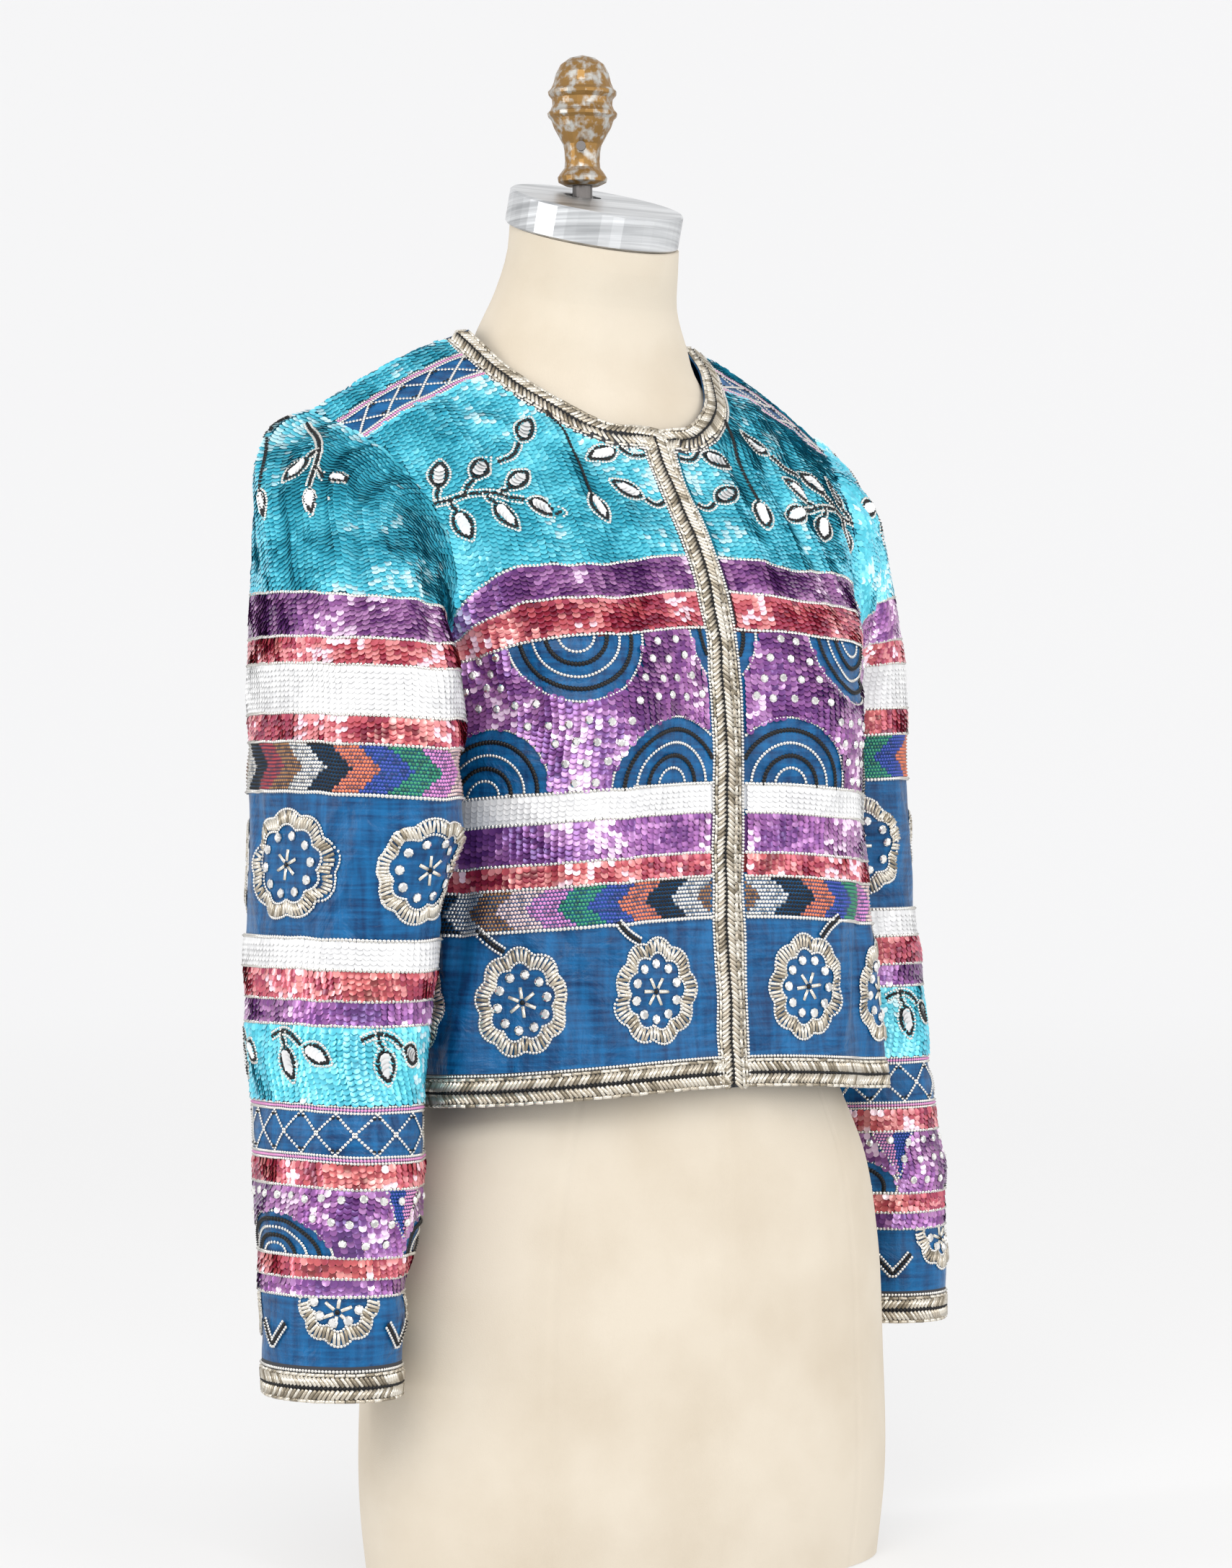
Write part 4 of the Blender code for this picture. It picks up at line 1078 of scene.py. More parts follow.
def arch(panel, pile, s0, h0, wide, tall, edge, flip, low, high):
    """Nested lines of beads in a half ellipse that stands on its band, or hangs if `flip` is -1."""
    for share, slot in ARCH_LINES:
        run = math.pi * (wide + tall) / 2 * share
        turn = np.linspace(0, math.pi, max(8, int(run / BEAD_PITCH)))
        s = s0 + wide * share * np.cos(turn)
        h = h0 + flip * tall * share * np.sin(turn)
        keep = (s > edge) & (h > low) & (h < high)
        if keep.sum() > 2:
            size = BEAD * (1.6 if slot == "black" else 1.05)
            bead_line(panel, pile, s[keep], h[keep], slot, size, EDGE_GAP)


def local(panel, s, h):
    """Place on the panel at (s, h): its origin, across and up, as near +Z as it lies. None off the panel."""
    p, n, _, good = panel.locate([s], [h])
    if not good[0]:
        return None
    upright = np.array([0.0, 0.0, 1.0])
    up = unit(upright - (upright @ n[0]) * n[0])
    return p[0], np.cross(up, n[0]), up


def in_space(place, ways):
    """Directions in space of (across, up) ones."""
    _, across, up = place
    return ways[:, :1] * across + ways[:, 1:] * up


def on_panel(panel, place, at):
    """Points and normals of the panel at (across, up) lengths from a place."""
    return panel.project(place[0] + in_space(place, at))


def resample(curve, pitch):
    """Even steps along a curve."""
    curve = np.asarray(curve, float)
    arc = run_along(curve)
    at = np.linspace(0, arc[-1], max(2, int(round(arc[-1] / pitch)) + 1))
    return along_line(at, arc, curve)


def stitch(panel, pile, place, curve, slot, size=BEAD, pitch=BEAD_PITCH, proud=PROUD):
    """Beads along a curve of (across, up) lengths round a place on the panel."""
    at = resample(curve, pitch)
    p, n = on_panel(panel, place, at)
    pile.add("bead", p, n, in_space(place, np.gradient(at, axis=0)), size, slot, proud)


def leaf_outline(base, angle, length, width, inset=0.0):
    """Outline of a leaf that grows from `base`, or a line inside it."""
    t = np.linspace(0, 1, 26)
    half = (width / 2 - inset) * np.sin(np.pi * np.clip(t, 0, 1)) ** 0.75 * (1.1 - 0.3 * t)
    run = inset * 1.2 + t * (length - 2.6 * inset)
    side = np.concatenate([np.stack([run, half], -1), np.stack([run, -half], -1)[::-1]])
    c, s = math.cos(angle), math.sin(angle)
    return base + side @ np.array([[c, s], [-s, c]])


def leaf(panel, pile, place, base, angle):
    """A leaf of one silver and one black line of beads round white sequins. Returns its middle points."""
    base = np.asarray(base, float)
    size = (LEAF_LENGTH, LEAF_WIDTH)
    stitch(panel, pile, place, leaf_outline(base, angle, *size), "silver")
    stitch(panel, pile, place, leaf_outline(base, angle, *size, LINE_GAP), "black", BLACK_BEAD, BLACK_PITCH)
    way = np.array([[math.cos(angle), math.sin(angle)]])
    p, n = on_panel(panel, place, base + np.array(LEAF_SEQUINS)[:, None] * LEAF_LENGTH * way)
    along = in_space(place, way)
    r = LEAF_WIDTH * 0.24
    pile.add("sequin", p + n * (PROUD + 0.0004), unit(n + along * 0.30), along, (r, r * 1.05, r), "white3")
    return p


def stem(panel, pile, place, curve, lines=True):
    """A line of black beads with a silver line on each side."""
    curve = resample(curve, 0.002)
    slope = np.gradient(curve, axis=0)
    side = unit(np.stack([-slope[:, 1], slope[:, 0]], axis=-1))
    stitch(panel, pile, place, curve, "black", BLACK_BEAD, BLACK_PITCH)
    if lines:
        stitch(panel, pile, place, curve + side * LINE_GAP, "silver")
        stitch(panel, pile, place, curve - side * LINE_GAP, "silver")


def bow(start, end, sag, count=14):
    """A curve between two points that bends to one side by `sag`."""
    start, end = np.asarray(start, float), np.asarray(end, float)
    t = np.linspace(0, 1, count)[:, None]
    side = np.array([-(end - start)[1], (end - start)[0]])
    return start + (end - start) * t + unit(side) * sag * np.sin(np.pi * t)


def sprig(panel, pile, mirror, s, h, turn, leaves, length, sag):
    """A bent stem with its middle at (s, h), and its leaves on stalks. Returns the leaves' middle points."""
    place = local(panel, s, h)
    if place is None:
        return []
    way = np.array([math.cos(turn) * mirror, math.sin(turn)])
    main = bow(-way * length / 2, way * length / 2, sag * mirror)
    stem(panel, pile, place, main)
    middles = []
    for share, side, stalk, off in leaves:
        at = main[int(round(share * (len(main) - 1)))]
        angle = math.atan2(way[1], way[0] * mirror) + side * off
        step = np.array([math.cos(angle) * mirror, math.sin(angle)])
        end = at + step * stalk
        if stalk > SHORT_STALK:
            stem(panel, pile, place, bow(at, end, 0.001 * side * mirror))
        middles.append(leaf(panel, pile, place, end, math.atan2(step[1], step[0])))
    return middles


def drop_leaf(panel, pile, mirror, s, h, length, lean):
    """One hanging leaf at the end of a long thin stem, whose middle is at (s, h)."""
    place = local(panel, s, h)
    if place is None:
        return []
    start, end = np.array([0.0, length / 2]), np.array([lean * mirror, -length / 2])
    stem(panel, pile, place, bow(start, end, 0.003 * mirror), lines=False)
    return [leaf(panel, pile, place, end, math.atan2(end[1], end[0]))]


def lobed(radius, turn, seed, squash):
    """Outline of a round motif with shallow lobes, a little uneven, and the angle of each of its points."""
    draw = np.random.default_rng(seed)
    a = np.linspace(0, 2 * math.pi, 181)
    uneven = sum(draw.uniform(0.2, 1) * np.cos(k * a + draw.uniform(0, 6.28)) for k in (2, 3)) * 0.0007
    r = radius + LOBE_DEPTH * np.abs(np.sin((a + turn) * LOBES / 2)) - LOBE_DEPTH / 2 + uneven
    return np.stack([r * np.cos(a) * squash, r * np.sin(a)], axis=-1), a


def medallion(panel, pile, s, h, seed, radius, squash=1.0, half=False):
    """A lobed ring of laid bugles with bead edges, studs inside it and a star at its middle."""
    place = local(panel, s, h)
    if place is None:
        return
    draw = np.random.default_rng(seed)
    turn = draw.uniform(0, 1)
    for size in (radius, radius - RING_WIDTH):
        curve, a = lobed(size, turn, seed, squash)
        if half:
            curve = curve[(a >= math.pi) & (a <= 2 * math.pi)]
        stitch(panel, pile, place, curve, "silver", proud=0.0005)
    at = resample(lobed(radius - RING_WIDTH / 2, turn, seed, squash)[0], 0.0025)
    if half:
        at = at[at[:, 1] < -0.001]
    p, n = on_panel(panel, place, at)
    way = unit(at) + draw.normal(0, 0.10, at.shape)
    slots = np.array(RODS)[draw.choice(3, len(at), p=(0.55, 0.27, 0.18))]
    pile.add("rod", p, n, in_space(place, way), MEDALLION_ROD, slots, 0.0006)
    angle = (np.arange(RING_STUDS) + draw.uniform(0, 1)) / RING_STUDS * 2 * math.pi
    at = np.stack([np.cos(angle) * squash, np.sin(angle)], axis=-1) * (radius * 0.55)
    if half:
        at = at[at[:, 1] < -0.002]
    p, n = on_panel(panel, place, at)
    pile.add("stone", p, n, place[2], MEDALLION_STUD, "stone", SEWN_GAP)
    star(panel, pile, place, np.array([[0.0, -0.008 if half else 0.0]]), draw.uniform(0, 1))


def star(panel, pile, place, centre, turn, count=6):
    """Bugles that stand out from a black bead."""
    angle = (np.arange(count) + turn) / count * 2 * math.pi
    way = np.stack([np.cos(angle), np.sin(angle)], axis=-1)
    p, n = on_panel(panel, place, centre + way * STAR_RADIUS)
    pile.add("rod", p, n, in_space(place, way), STAR_ROD, "rod", SEWN_GAP)
    p, n = on_panel(panel, place, centre)
    pile.add("bead", p, n, place[2], 0.0017, "black", SEWN_GAP)


def lattice(pile, finder, length, low, high, pitch):
    """Crossed lines of silver beads between two bordered edges. `finder(x, d)` gives points and normals."""

    def lay(x, d, slot, size=BEAD):
        p, n, good = finder(x, d)
        if good.sum() > 1:
            pile.add("bead", p[good], n[good], np.gradient(p, axis=0)[good], size, slot, EDGE_GAP)

    x = np.arange(0, length, BEAD_PITCH)
    for edge, sign in ((low, 1), (high, -1)):
        for away, slot in ((0.0, "silver"), (0.0018, "pink"), (0.0036, "silver")):
            lay(x, np.full_like(x, edge + sign * away), slot)
    inner = (low + 0.0045, high - 0.0045)
    count = max(1, int(round(length / pitch)))
    step = length / count
    for i in range(count):
        for a, b in (inner, inner[::-1]):
            n = int(math.hypot(step, b - a) / BEAD_PITCH)
            lay(np.linspace(i * step, (i + 1) * step, n), np.linspace(a, b, n), "silver")
        pair = i * step + np.array([-0.0014, 0.0015])
        for d in (inner[0] + 0.0022, inner[1] - 0.0022):
            lay(pair, np.full(2, d), "black", 0.0011)


def trim(panel, pile, edge, inward):
    """The bead border along a line of edge points: laid and slanted bugles either side of black beads."""
    arc = run_along(edge)
    slopes = np.gradient(edge, arc, axis=0)
    for lane in TRIM_LANES:
        at = np.arange(lane["pitch"] / 2, arc[-1], lane["pitch"])
        start, into, tangent = (along_line(at, arc, field) for field in (edge, inward, slopes))
        tangent = unit(tangent)
        square = unit(np.cross(panel.project(start)[1], tangent))
        square = square * np.sign((square * into).sum(-1, keepdims=True))
        p, n = panel.project(start + square * lane["offset"])
        way = square * math.cos(lane["slant"]) + tangent * math.sin(lane["slant"])
        slot = lane["slot"]
        if slot == "rods":
            slot = np.array(RODS)[rng.choice(3, len(p), p=(0.55, 0.25, 0.20))]
        way = way + rng.normal(0, 0.05, way.shape)
        scale = (lane["wide"], lane["long"], lane["high"])
        pile.add(lane["shape"], p, n, way, scale, slot, SEWN_GAP)


# Lines of the bead border: distance in from the edge, pitch, turn from square to the edge, and size
TRIM_LANES = named(
    "offset pitch shape slant wide long high slot",
    (0.0010, 0.0058, "rod", math.pi / 2, 0.0010, 0.0054, 0.0011, "rods"),
    (0.0048, 0.0027, "rod", 0.66, 0.0010, 0.0066, 0.0013, "rods"),
    (0.0085, 0.0022, "bead", 0.0, 0.0012, 0.0012, 0.0013, "black"),
    (0.0122, 0.0027, "rod", -0.66, 0.0010, 0.0066, 0.0013, "rods"),
    (0.0160, 0.0058, "rod", math.pi / 2, 0.0009, 0.0054, 0.0011, "rods"),
    (0.0182, 0.0021, "bead", 0.0, 0.0010, 0.0010, 0.0011, "silver"),
)


# Bands of the body above the hem and of the sleeve above the cuff: lower edge, upper edge, sequins
BODY_BANDS = (
    (0.1265, 0.1400, "red"),
    (0.1405, 0.1640, "purple"),
    (0.1645, 0.1810, "white"),
    (0.1815, 0.2740, "purple"),
    (0.2745, 0.2980, "red"),
    (0.2985, 0.3215, "purple"),
    (0.3220, 0.7000, "teal"),
)
BODY_LINES = (0.1015, 0.1262, 0.1403, 0.1643, 0.1812, 0.2742, 0.2983, 0.3218)
BODY_CHEVRONS = (0.1025, 0.1255)
ARCH_ZONE = (0.1812, 0.2742)
SLEEVE_BANDS = (
    (0.0615, 0.0716, "purple"),
    (0.0720, 0.0840, "red"),
    (0.0845, 0.1240, "purple"),
    (0.1245, 0.1385, "red"),
    (0.1720, 0.2175, "teal"),
    (0.2180, 0.2320, "purple"),
    (0.2325, 0.2500, "red"),
    (0.2505, 0.2670, "white"),
    (0.3815, 0.3975, "red"),
    (0.3980, 0.4265, "white"),
    (0.4270, 0.4425, "red"),
    (0.4430, 0.4705, "purple"),
    (0.4710, 0.7000, "teal"),
)
SLEEVE_LINES = (
    *(0.0612, 0.0718, 0.0842, 0.1242, 0.2178, 0.2323, 0.2503),
    *(0.2675, 0.3520, 0.3812, 0.3978, 0.4268, 0.4428, 0.4708),
)
SLEEVE_ARCH_ZONE = (0.0842, 0.1242)
SLEEVE_CHEVRONS = (0.3530, 0.3805)
BODY_BARE = 0.1815  # the band that starts here has bare silk under its arches
SLEEVE_BARE = 0.0845
SLEEVE_LATTICE = (0.1390, 0.1715)
YOKE_LATTICE = (0.018, 0.043)  # below the shoulder edge
ARCH_WIDE = 0.0420
ARCH_TALL = 0.0405

# Places of the arches across, those that stand on their band and those that hang
FRONT_ARCHES = (0.050, 0.170, 0.290), (-0.010, 0.110, 0.230)
BACK_ARCHES = (-0.180, -0.060, 0.060, 0.180), (-0.240, -0.120, 0.0, 0.120, 0.240)

# The same for the sleeve, with its wedges of beads and its small stems at the cuff
SLEEVE_ARCHES = (0.0, 0.132, -0.132)
SLEEVE_ARCH_WIDE = 0.044
SLEEVE_ARCH_TALL = 0.0245
FANS = (0.090, -0.090)
FAN_TALL = 0.030
FAN_WIDE = 0.028
CUFF_STEMS = (0.0, 0.0865, -0.0865)
CUFF_STEM = ((-0.0115, 0.004), (0.0, -0.0085), (0.0115, 0.004))

# Sewn work starts this far from a front's centre edge, beside the border, and anywhere on other pieces
BORDER_EDGE = 0.0195
NO_EDGE = -1.0


def in_arch(s, h, s0, h0, wide, tall, flip):
    """True for places (s, h) inside an arch."""
    up = (h - h0) * flip
    return (up > -0.001) & (((s - s0) / wide) ** 2 + (up / tall) ** 2 < 1.0)


def studs_between(panel, pile, low, high, edge, arches, pitch, clear=1.14):
    """Studs scattered over the sequins between arches."""
    s_all = np.arange(max(panel.s.min(), edge) + pitch * 0.6, panel.s.max() - 0.003, pitch)
    rows = max(1, int((high - low) / (pitch * 0.85)))
    for i in range(rows):
        h = low + (i + 0.5) * (high - low) / rows + rng.uniform(-0.0012, 0.0012, len(s_all))
        s = s_all + (pitch / 2 if i % 2 else 0) + rng.uniform(-0.0012, 0.0012, len(s_all))
        use = np.ones(len(s), bool)
        for s0, h0, wide, tall, flip in arches:
            use &= ~in_arch(s, h, s0, h0, wide * clear, tall * clear, flip)
        if use.any():
            p, n, u, good = panel.locate(s[use], h[use])
            pile.add("stone", p[good], n[good], u[good], STUD, "stone", PROUD)


def leaf_clear(points, middles, reach=0.0036):
    """True for points that aren't over a leaf's white middle."""
    keep = np.ones(len(points), bool)
    for m in np.concatenate(middles) if middles else []:
        keep &= ((points - m) ** 2).sum(-1) > reach**2
    return keep


def border_clear(points, borders, reach):
    """True for points further than `reach` from the lines. Takes a few thousand at a time to save memory."""
    keep = np.ones(len(points), bool)
    for line in borders:
        for part in np.array_split(np.arange(len(points)), len(points) // 4000 + 1):
            gap = np.sqrt(((points[part, None] - line[None]) ** 2).sum(-1)).min(axis=1)
            keep[part] &= gap > reach
    return keep


# Leaves of a sprig: share along its stem, side, length of the stalk, and angle off the stem
FRONT_LEAVES = (
    (0.08, 1, 0.010, 1.35),
    (0.26, -1, 0.006, 1.30),
    (0.42, 1, 0.011, 0.95),
    (0.62, -1, 0.007, 1.05),
    (0.80, 1, 0.006, 0.70),
    (1.00, -1, 0.002, 0.35),
)
CAP_LEAVES = ((0.55, -1, 0.008, 0.9), (0.80, 1, 0.005, 0.9), (1.0, -1, 0.002, 0.1))
BAND_LEAVES = ((0.35, -1, 0.007, 1.2), (1.0, -1, 0.002, 0.3))

# Sprigs and hanging leaves: place of the stem's middle, its turn, leaves, length, and sag or lean
SPRIG = "s h turn leaves length sag"
FRONT_SPRIGS = named(
    SPRIG,
    (0.148, 0.372, 0.12, FRONT_LEAVES, 0.056, 0.006),
    (0.112, 0.408, 0.75, ((1.0, 1, 0.002, 0.3),), 0.020, -0.003),
    (0.029, 0.400, math.pi - 0.30, ((1.0, 1, 0.002, 0.6),), 0.015, 0.003),
    (0.027, 0.362, math.pi - 0.15, ((1.0, -1, 0.002, 0.5),), 0.011, 0.003),
)
BACK_SPRIGS = named(
    SPRIG,
    (0.120, 0.372, 0.25, FRONT_LEAVES, 0.058, 0.007),
    (0.096, 0.432, 0.30, FRONT_LEAVES[2:5], 0.040, -0.005),
)
DROP = "s h length lean"
FRONT_DROPS = named(DROP, (0.075, 0.408, 0.064, 0.004))
BACK_DROPS = named(
    DROP,
    (0.0, 0.415, 0.062, 0.004),
    (0.046, 0.423, 0.046, 0.004),
    (-0.046, 0.423, 0.046, 0.004),
)

# Round motifs of the body and the sleeve: their places across, and the sizes of each row of them
FRONT_ROUNDS = (0.062, 0.146, 0.228)
BACK_ROUNDS = (-0.168, -0.084, 0.0, 0.084, 0.168)
SLEEVE_ROUNDS = (-0.184, -0.086, 0.012, 0.110)
CUFF_ROUNDS = (0.045, -0.045, -0.128, 0.128)
BODY_ROUND = dict(h=0.0600, radius=0.0300, squash=0.92)
SLEEVE_ROUND = dict(h=0.3095, radius=0.0308, squash=1.28)
CUFF_ROUND = dict(h=0.0605, radius=0.0260, half=True)


def stem_at(panel, pile, s, h, curve):
    """A short stem round the place (s, h), where that is on the panel."""
    place = local(panel, s, h)
    if place is not None:
        stem(panel, pile, place, curve)


def body_leaves(panel, pile, toward):
    """Sprigs and hanging leaves of a front, or of the back if `toward` is 0. Returns their middles."""
    middles = []
    for way in (toward,) if toward else (1, -1):
        for row in FRONT_SPRIGS if toward else BACK_SPRIGS:
            across = 1 if toward else way
            middles += sprig(panel, pile, way, **{**row, "s": row["s"] * across})
    for row in FRONT_DROPS if toward else BACK_DROPS:
        middles += drop_leaf(panel, pile, toward or 1, **row)
    return middles


def dress_body(panel, sequins, beads, rods):
    """Sews the front (side -1 or 1) or the back (side 0)."""
    side = panel.side
    edge = BORDER_EDGE if side else NO_EDGE
    low, high = ARCH_ZONE
    standing, hanging = FRONT_ARCHES if side else BACK_ARCHES
    arches = [(s, low, ARCH_WIDE, ARCH_TALL, 1) for s in standing]
    arches += [(s, high, ARCH_WIDE, ARCH_TALL, -1) for s in hanging]
    for s, h, wide, tall, flip in arches:
        arch(panel, beads, s, h, wide, tall, edge, flip, low - 0.001, high + 0.001)
    studs_between(panel, beads, low, high, edge, arches, 0.0125)
    for line in BODY_LINES:
        level_line(panel, beads, line, edge)
    chevrons(panel, beads, *BODY_CHEVRONS, edge, 0.013, 1 if side else -1)
    for i, s in enumerate(FRONT_ROUNDS if side else BACK_ROUNDS):
        medallion(panel, rods, s, seed=30 + i + 10 * side, **BODY_ROUND)
        way = -side or (1 if s > 0 else -1)
        stem_at(panel, rods, s, BODY_ROUND["h"], bow((-0.012 * way, 0.0300), (-0.026 * way, 0.0410), 0.001))
    middles = body_leaves(panel, beads, -side)

    def keep(p, s, h, drop, col):
        use = leaf_clear(p, middles) & border_clear(p, panel.borders, 0.0205)
        for a in arches:
            use &= ~((h > low) & (h < high) & in_arch(s, h, *a))
        in_lattice = (drop > YOKE_LATTICE[0] - 0.0005) & (drop < YOKE_LATTICE[1] + 0.0005)
        return use & ~(panel.shoulder(col) & in_lattice)

    lay_sequins(panel, sequins, BODY_BANDS, keep, edge)
    for length, finder in panel.yokes:
        lattice(beads, finder, length, *YOKE_LATTICE, 0.024)


def dress_sleeve(panel, sequins, beads, rods):
    """Sews a sleeve."""
    side = panel.side
    low, high = SLEEVE_ARCH_ZONE
    arches = [(s, low, SLEEVE_ARCH_WIDE, SLEEVE_ARCH_TALL, 1) for s in SLEEVE_ARCHES]
    for s, h, wide, tall, flip in arches:
        arch(panel, beads, s, h, wide, tall, NO_EDGE, flip, low - 0.001, high)
    studs_between(panel, beads, low + 0.002, high, NO_EDGE, arches, 0.0120, 1.18)
    for line in SLEEVE_LINES:
        level_line(panel, beads, line, NO_EDGE)
    chevrons(panel, beads, *SLEEVE_CHEVRONS, NO_EDGE, 0.004, 0)
    for s in FANS:
        fan(panel, beads, s, high)
    for i, s in enumerate(SLEEVE_ROUNDS):
        medallion(panel, rods, s, seed=60 + i + 7 * side, **SLEEVE_ROUND)
    for i, s in enumerate(CUFF_ROUNDS):
        medallion(panel, rods, s, seed=80 + i + 7 * side, **CUFF_ROUND)
    for s in CUFF_STEMS:
        stem_at(panel, rods, s, 0.040, CUFF_STEM)
    cap_h = panel.h[-1, panel.h.shape[1] // 2] - 0.046
    middles = drop_leaf(panel, beads, 1, 0.002, cap_h, 0.072, -0.006)
    for way in (-1, 1):
        middles += sprig(panel, beads, -side * way, 0.034 * way, cap_h, -0.95, CAP_LEAVES, 0.072, 0.008)
    for s in np.arange(-0.150, 0.151, 0.062):
        middles += sprig(panel, beads, 1, s - 0.018, 0.2085, -0.15, BAND_LEAVES, 0.024, 0.005)

    def keep(p, s, h, drop, col):
        use = leaf_clear(p, middles)
        for a in arches:
            use &= ~((h > low) & (h < high) & in_arch(s, h, *a))
        up = h - high + FAN_TALL
        for s0 in FANS:
            use &= ~((h < high) & (np.abs(s - s0) < FAN_WIDE / 2 * up / FAN_TALL) & (up > 0))
        return use

    lay_sequins(panel, sequins, SLEEVE_BANDS, keep, NO_EDGE, SLEEVE_SWING)
    row = int(np.argmin(np.abs(panel.h[:, 0] - 0.155)))
    start = panel.s[row, 0] + 0.001
    length = panel.s[row, -1] - panel.s[row, 0] - 0.002

    def finder(x, d):
        p, n, _, good = panel.locate(np.asarray(x) + start, SLEEVE_LATTICE[1] - np.asarray(d))
        return p, n, good

    lattice(beads, finder, length, 0.0, SLEEVE_LATTICE[1] - SLEEVE_LATTICE[0], 0.0235)


def fan(panel, pile, s0, h0):
    """A wedge of blue and pink seed beads that hangs from a band, with silver edges."""
    pitch = 0.0020
    for i in range(int(FAN_TALL / pitch)):
        h = h0 - (i + 0.5) * pitch
        reach = FAN_WIDE / 2 * (1 - (i + 0.5) * pitch / FAN_TALL)
        s = np.arange(s0 - reach, s0 + reach, pitch)
        p, n, u, good = panel.locate(s, np.full_like(s, h))
        slots = np.where(s < s0, "blue", "pink")
        pile.add("bead", p[good], n[good], u[good], (0.00095, 0.00095, 0.00105), slots[good], EDGE_GAP)
    t = np.linspace(0, 1, int(FAN_TALL / BEAD_PITCH))
    for sign in (-1, 1):
        bead_line(panel, pile, s0 + sign * FAN_WIDE / 2 * (1 - t), h0 - t * FAN_TALL, proud=0.0007)


def ground_of(panel, bands, skip):
    """Index of the ground under each face: 0 for silk, 1 and up for the bands' families, darkened as painted
    shade between their sequins, and the last for the border's painted shade.
    """
    families = list(SHADE_GROUND_TINTS)
    h = (panel.h[1:, 1:] + panel.h[:-1, :-1]) / 2
    drop = panel.h[-1] - panel.h
    drop = (drop[1:, 1:] + drop[:-1, :-1]) / 2
    ground = np.zeros(h.shape, int)
    for low, high, family in bands:
        if low != skip:
            ground[(h > low) & (h < high)] = families.index(family) + 1
    if panel.yokes:
        shoulder = panel.shoulder(np.arange(h.shape[1]) + 0.5)[None, :]
        ground[shoulder & (drop > YOKE_LATTICE[0]) & (drop < YOKE_LATTICE[1])] = 0
    centres = (panel.grid[1:, 1:] + panel.grid[:-1, :-1]).reshape(-1, 3) / 2
    edged = (h < TRIM_WIDTH).ravel() | ~border_clear(centres, panel.borders, TRIM_WIDTH)
    ground = ground.ravel()
    ground[edged] = len(families) + 1
    return ground


def shell(panel, silk, materials, ground):
    """The cloth itself: a thin closed wall just under the panel's face."""
    rows, columns = panel.grid.shape[:2]
    outer = panel.grid - panel.normals * SEWN_GAP
    inner = panel.grid - panel.normals * (SEWN_GAP + SHELL)
    points = np.concatenate([outer.reshape(-1, 3), inner.reshape(-1, 3)])
    base = rows * columns
    faces = panel.quads + [tuple(base + i for i in q[::-1]) for q in panel.quads]
    rim = [r * columns for r in range(rows)]
    rim += [(rows - 1) * columns + c for c in range(1, columns)]
    rim += [r * columns + columns - 1 for r in range(rows - 2, -1, -1)]
    rim += range(columns - 2, 0, -1)
    for a, b in zip(rim, rim[1:] + rim[:1]):
        face = (a, b, base + b, base + a)
        faces.append(face[::-1] if panel.flip < 0 else face)
    # Grounds of the bands, darkened as painted shade between the sequins
    grounds = [materials[family + "_base"] for family in SHADE_GROUND_TINTS]
    thing = smooth_object(panel.name + "_cloth", points, faces, [silk, *grounds, materials["trim_base"]])
    index = np.zeros(len(faces), np.int32)
    index[: len(ground)] = ground
    thing.data.polygons.foreach_set("material_index", index)
    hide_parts(panel.name)
    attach(thing, "root")
    return thing


NECK_SKIP = 0.020  # the shoulder lattices start this far from the neck
BODY_RELIEF = 0.0009  # height of the uneven relief
SLEEVE_RELIEF = 0.0008

# Soft creases: place across, lower and upper end, slant (across per length up), width and depth
FRONT_CREASES = named(
    "s low high slant wide deep",
    (0.062, 0.300, 0.455, 0.05, 0.0065, 0.0018),
    (0.096, 0.270, 0.470, -0.08, 0.0075, 0.0022),
    (0.124, 0.310, 0.480, 0.04, 0.0060, 0.0016),
    (0.152, 0.200, 0.430, 0.16, 0.0085, 0.0024),
    (0.182, 0.220, 0.400, 0.22, 0.0070, 0.0020),
    (0.092, 0.012, 0.130, 0.42, 0.0080, 0.0022),
    (0.118, 0.020, 0.160, 0.20, 0.0095, 0.0026),
    (0.186, 0.010, 0.170, -0.22, 0.0095, 0.0028),
    (0.207, 0.030, 0.210, 0.10, 0.0070, 0.0028),
)
HALF_BACK_CREASES = named(
    "s low high slant wide deep",
    (0.036, 0.250, 0.470, -0.04, 0.0080, 0.0019),
    (0.081, 0.210, 0.455, 0.08, 0.0090, 0.0023),
    (0.128, 0.180, 0.440, 0.14, 0.0085, 0.0022),
    (0.171, 0.200, 0.400, 0.24, 0.0075, 0.0020),
    (0.104, 0.015, 0.150, -0.20, 0.0100, 0.0020),
)
BACK_CREASES = [
    {**row, "s": way * row["s"], "slant": way * row["slant"]} for way in (-1, 1) for row in HALF_BACK_CREASES
]
SLEEVE_CREASES = named(
    "s low high slant wide deep",
    (0.000, 0.470, 0.600, 0.10, 0.0080, 0.0024),
    (0.034, 0.460, 0.610, -0.08, 0.0070, 0.0022),
    (-0.036, 0.470, 0.615, 0.12, 0.0070, 0.0022),
    (0.074, 0.440, 0.590, 0.20, 0.0085, 0.0026),
    (-0.078, 0.440, 0.590, -0.20, 0.0085, 0.0026),
    (0.118, 0.380, 0.540, 0.30, 0.0090, 0.0024),
    (-0.120, 0.380, 0.540, -0.30, 0.0090, 0.0024),
    (0.050, 0.265, 0.365, 0.45, 0.0080, 0.0017),
    (-0.020, 0.255, 0.375, -0.25, 0.0085, 0.0018),
    (-0.095, 0.250, 0.370, 0.30, 0.0085, 0.0018),
    (0.140, 0.240, 0.360, -0.30, 0.0085, 0.0018),
    (0.020, 0.060, 0.200, 0.35, 0.0090, 0.0016),
    (-0.070, 0.080, 0.220, -0.30, 0.0090, 0.0016),
    (0.110, 0.030, 0.190, 0.25, 0.0090, 0.0016),
)


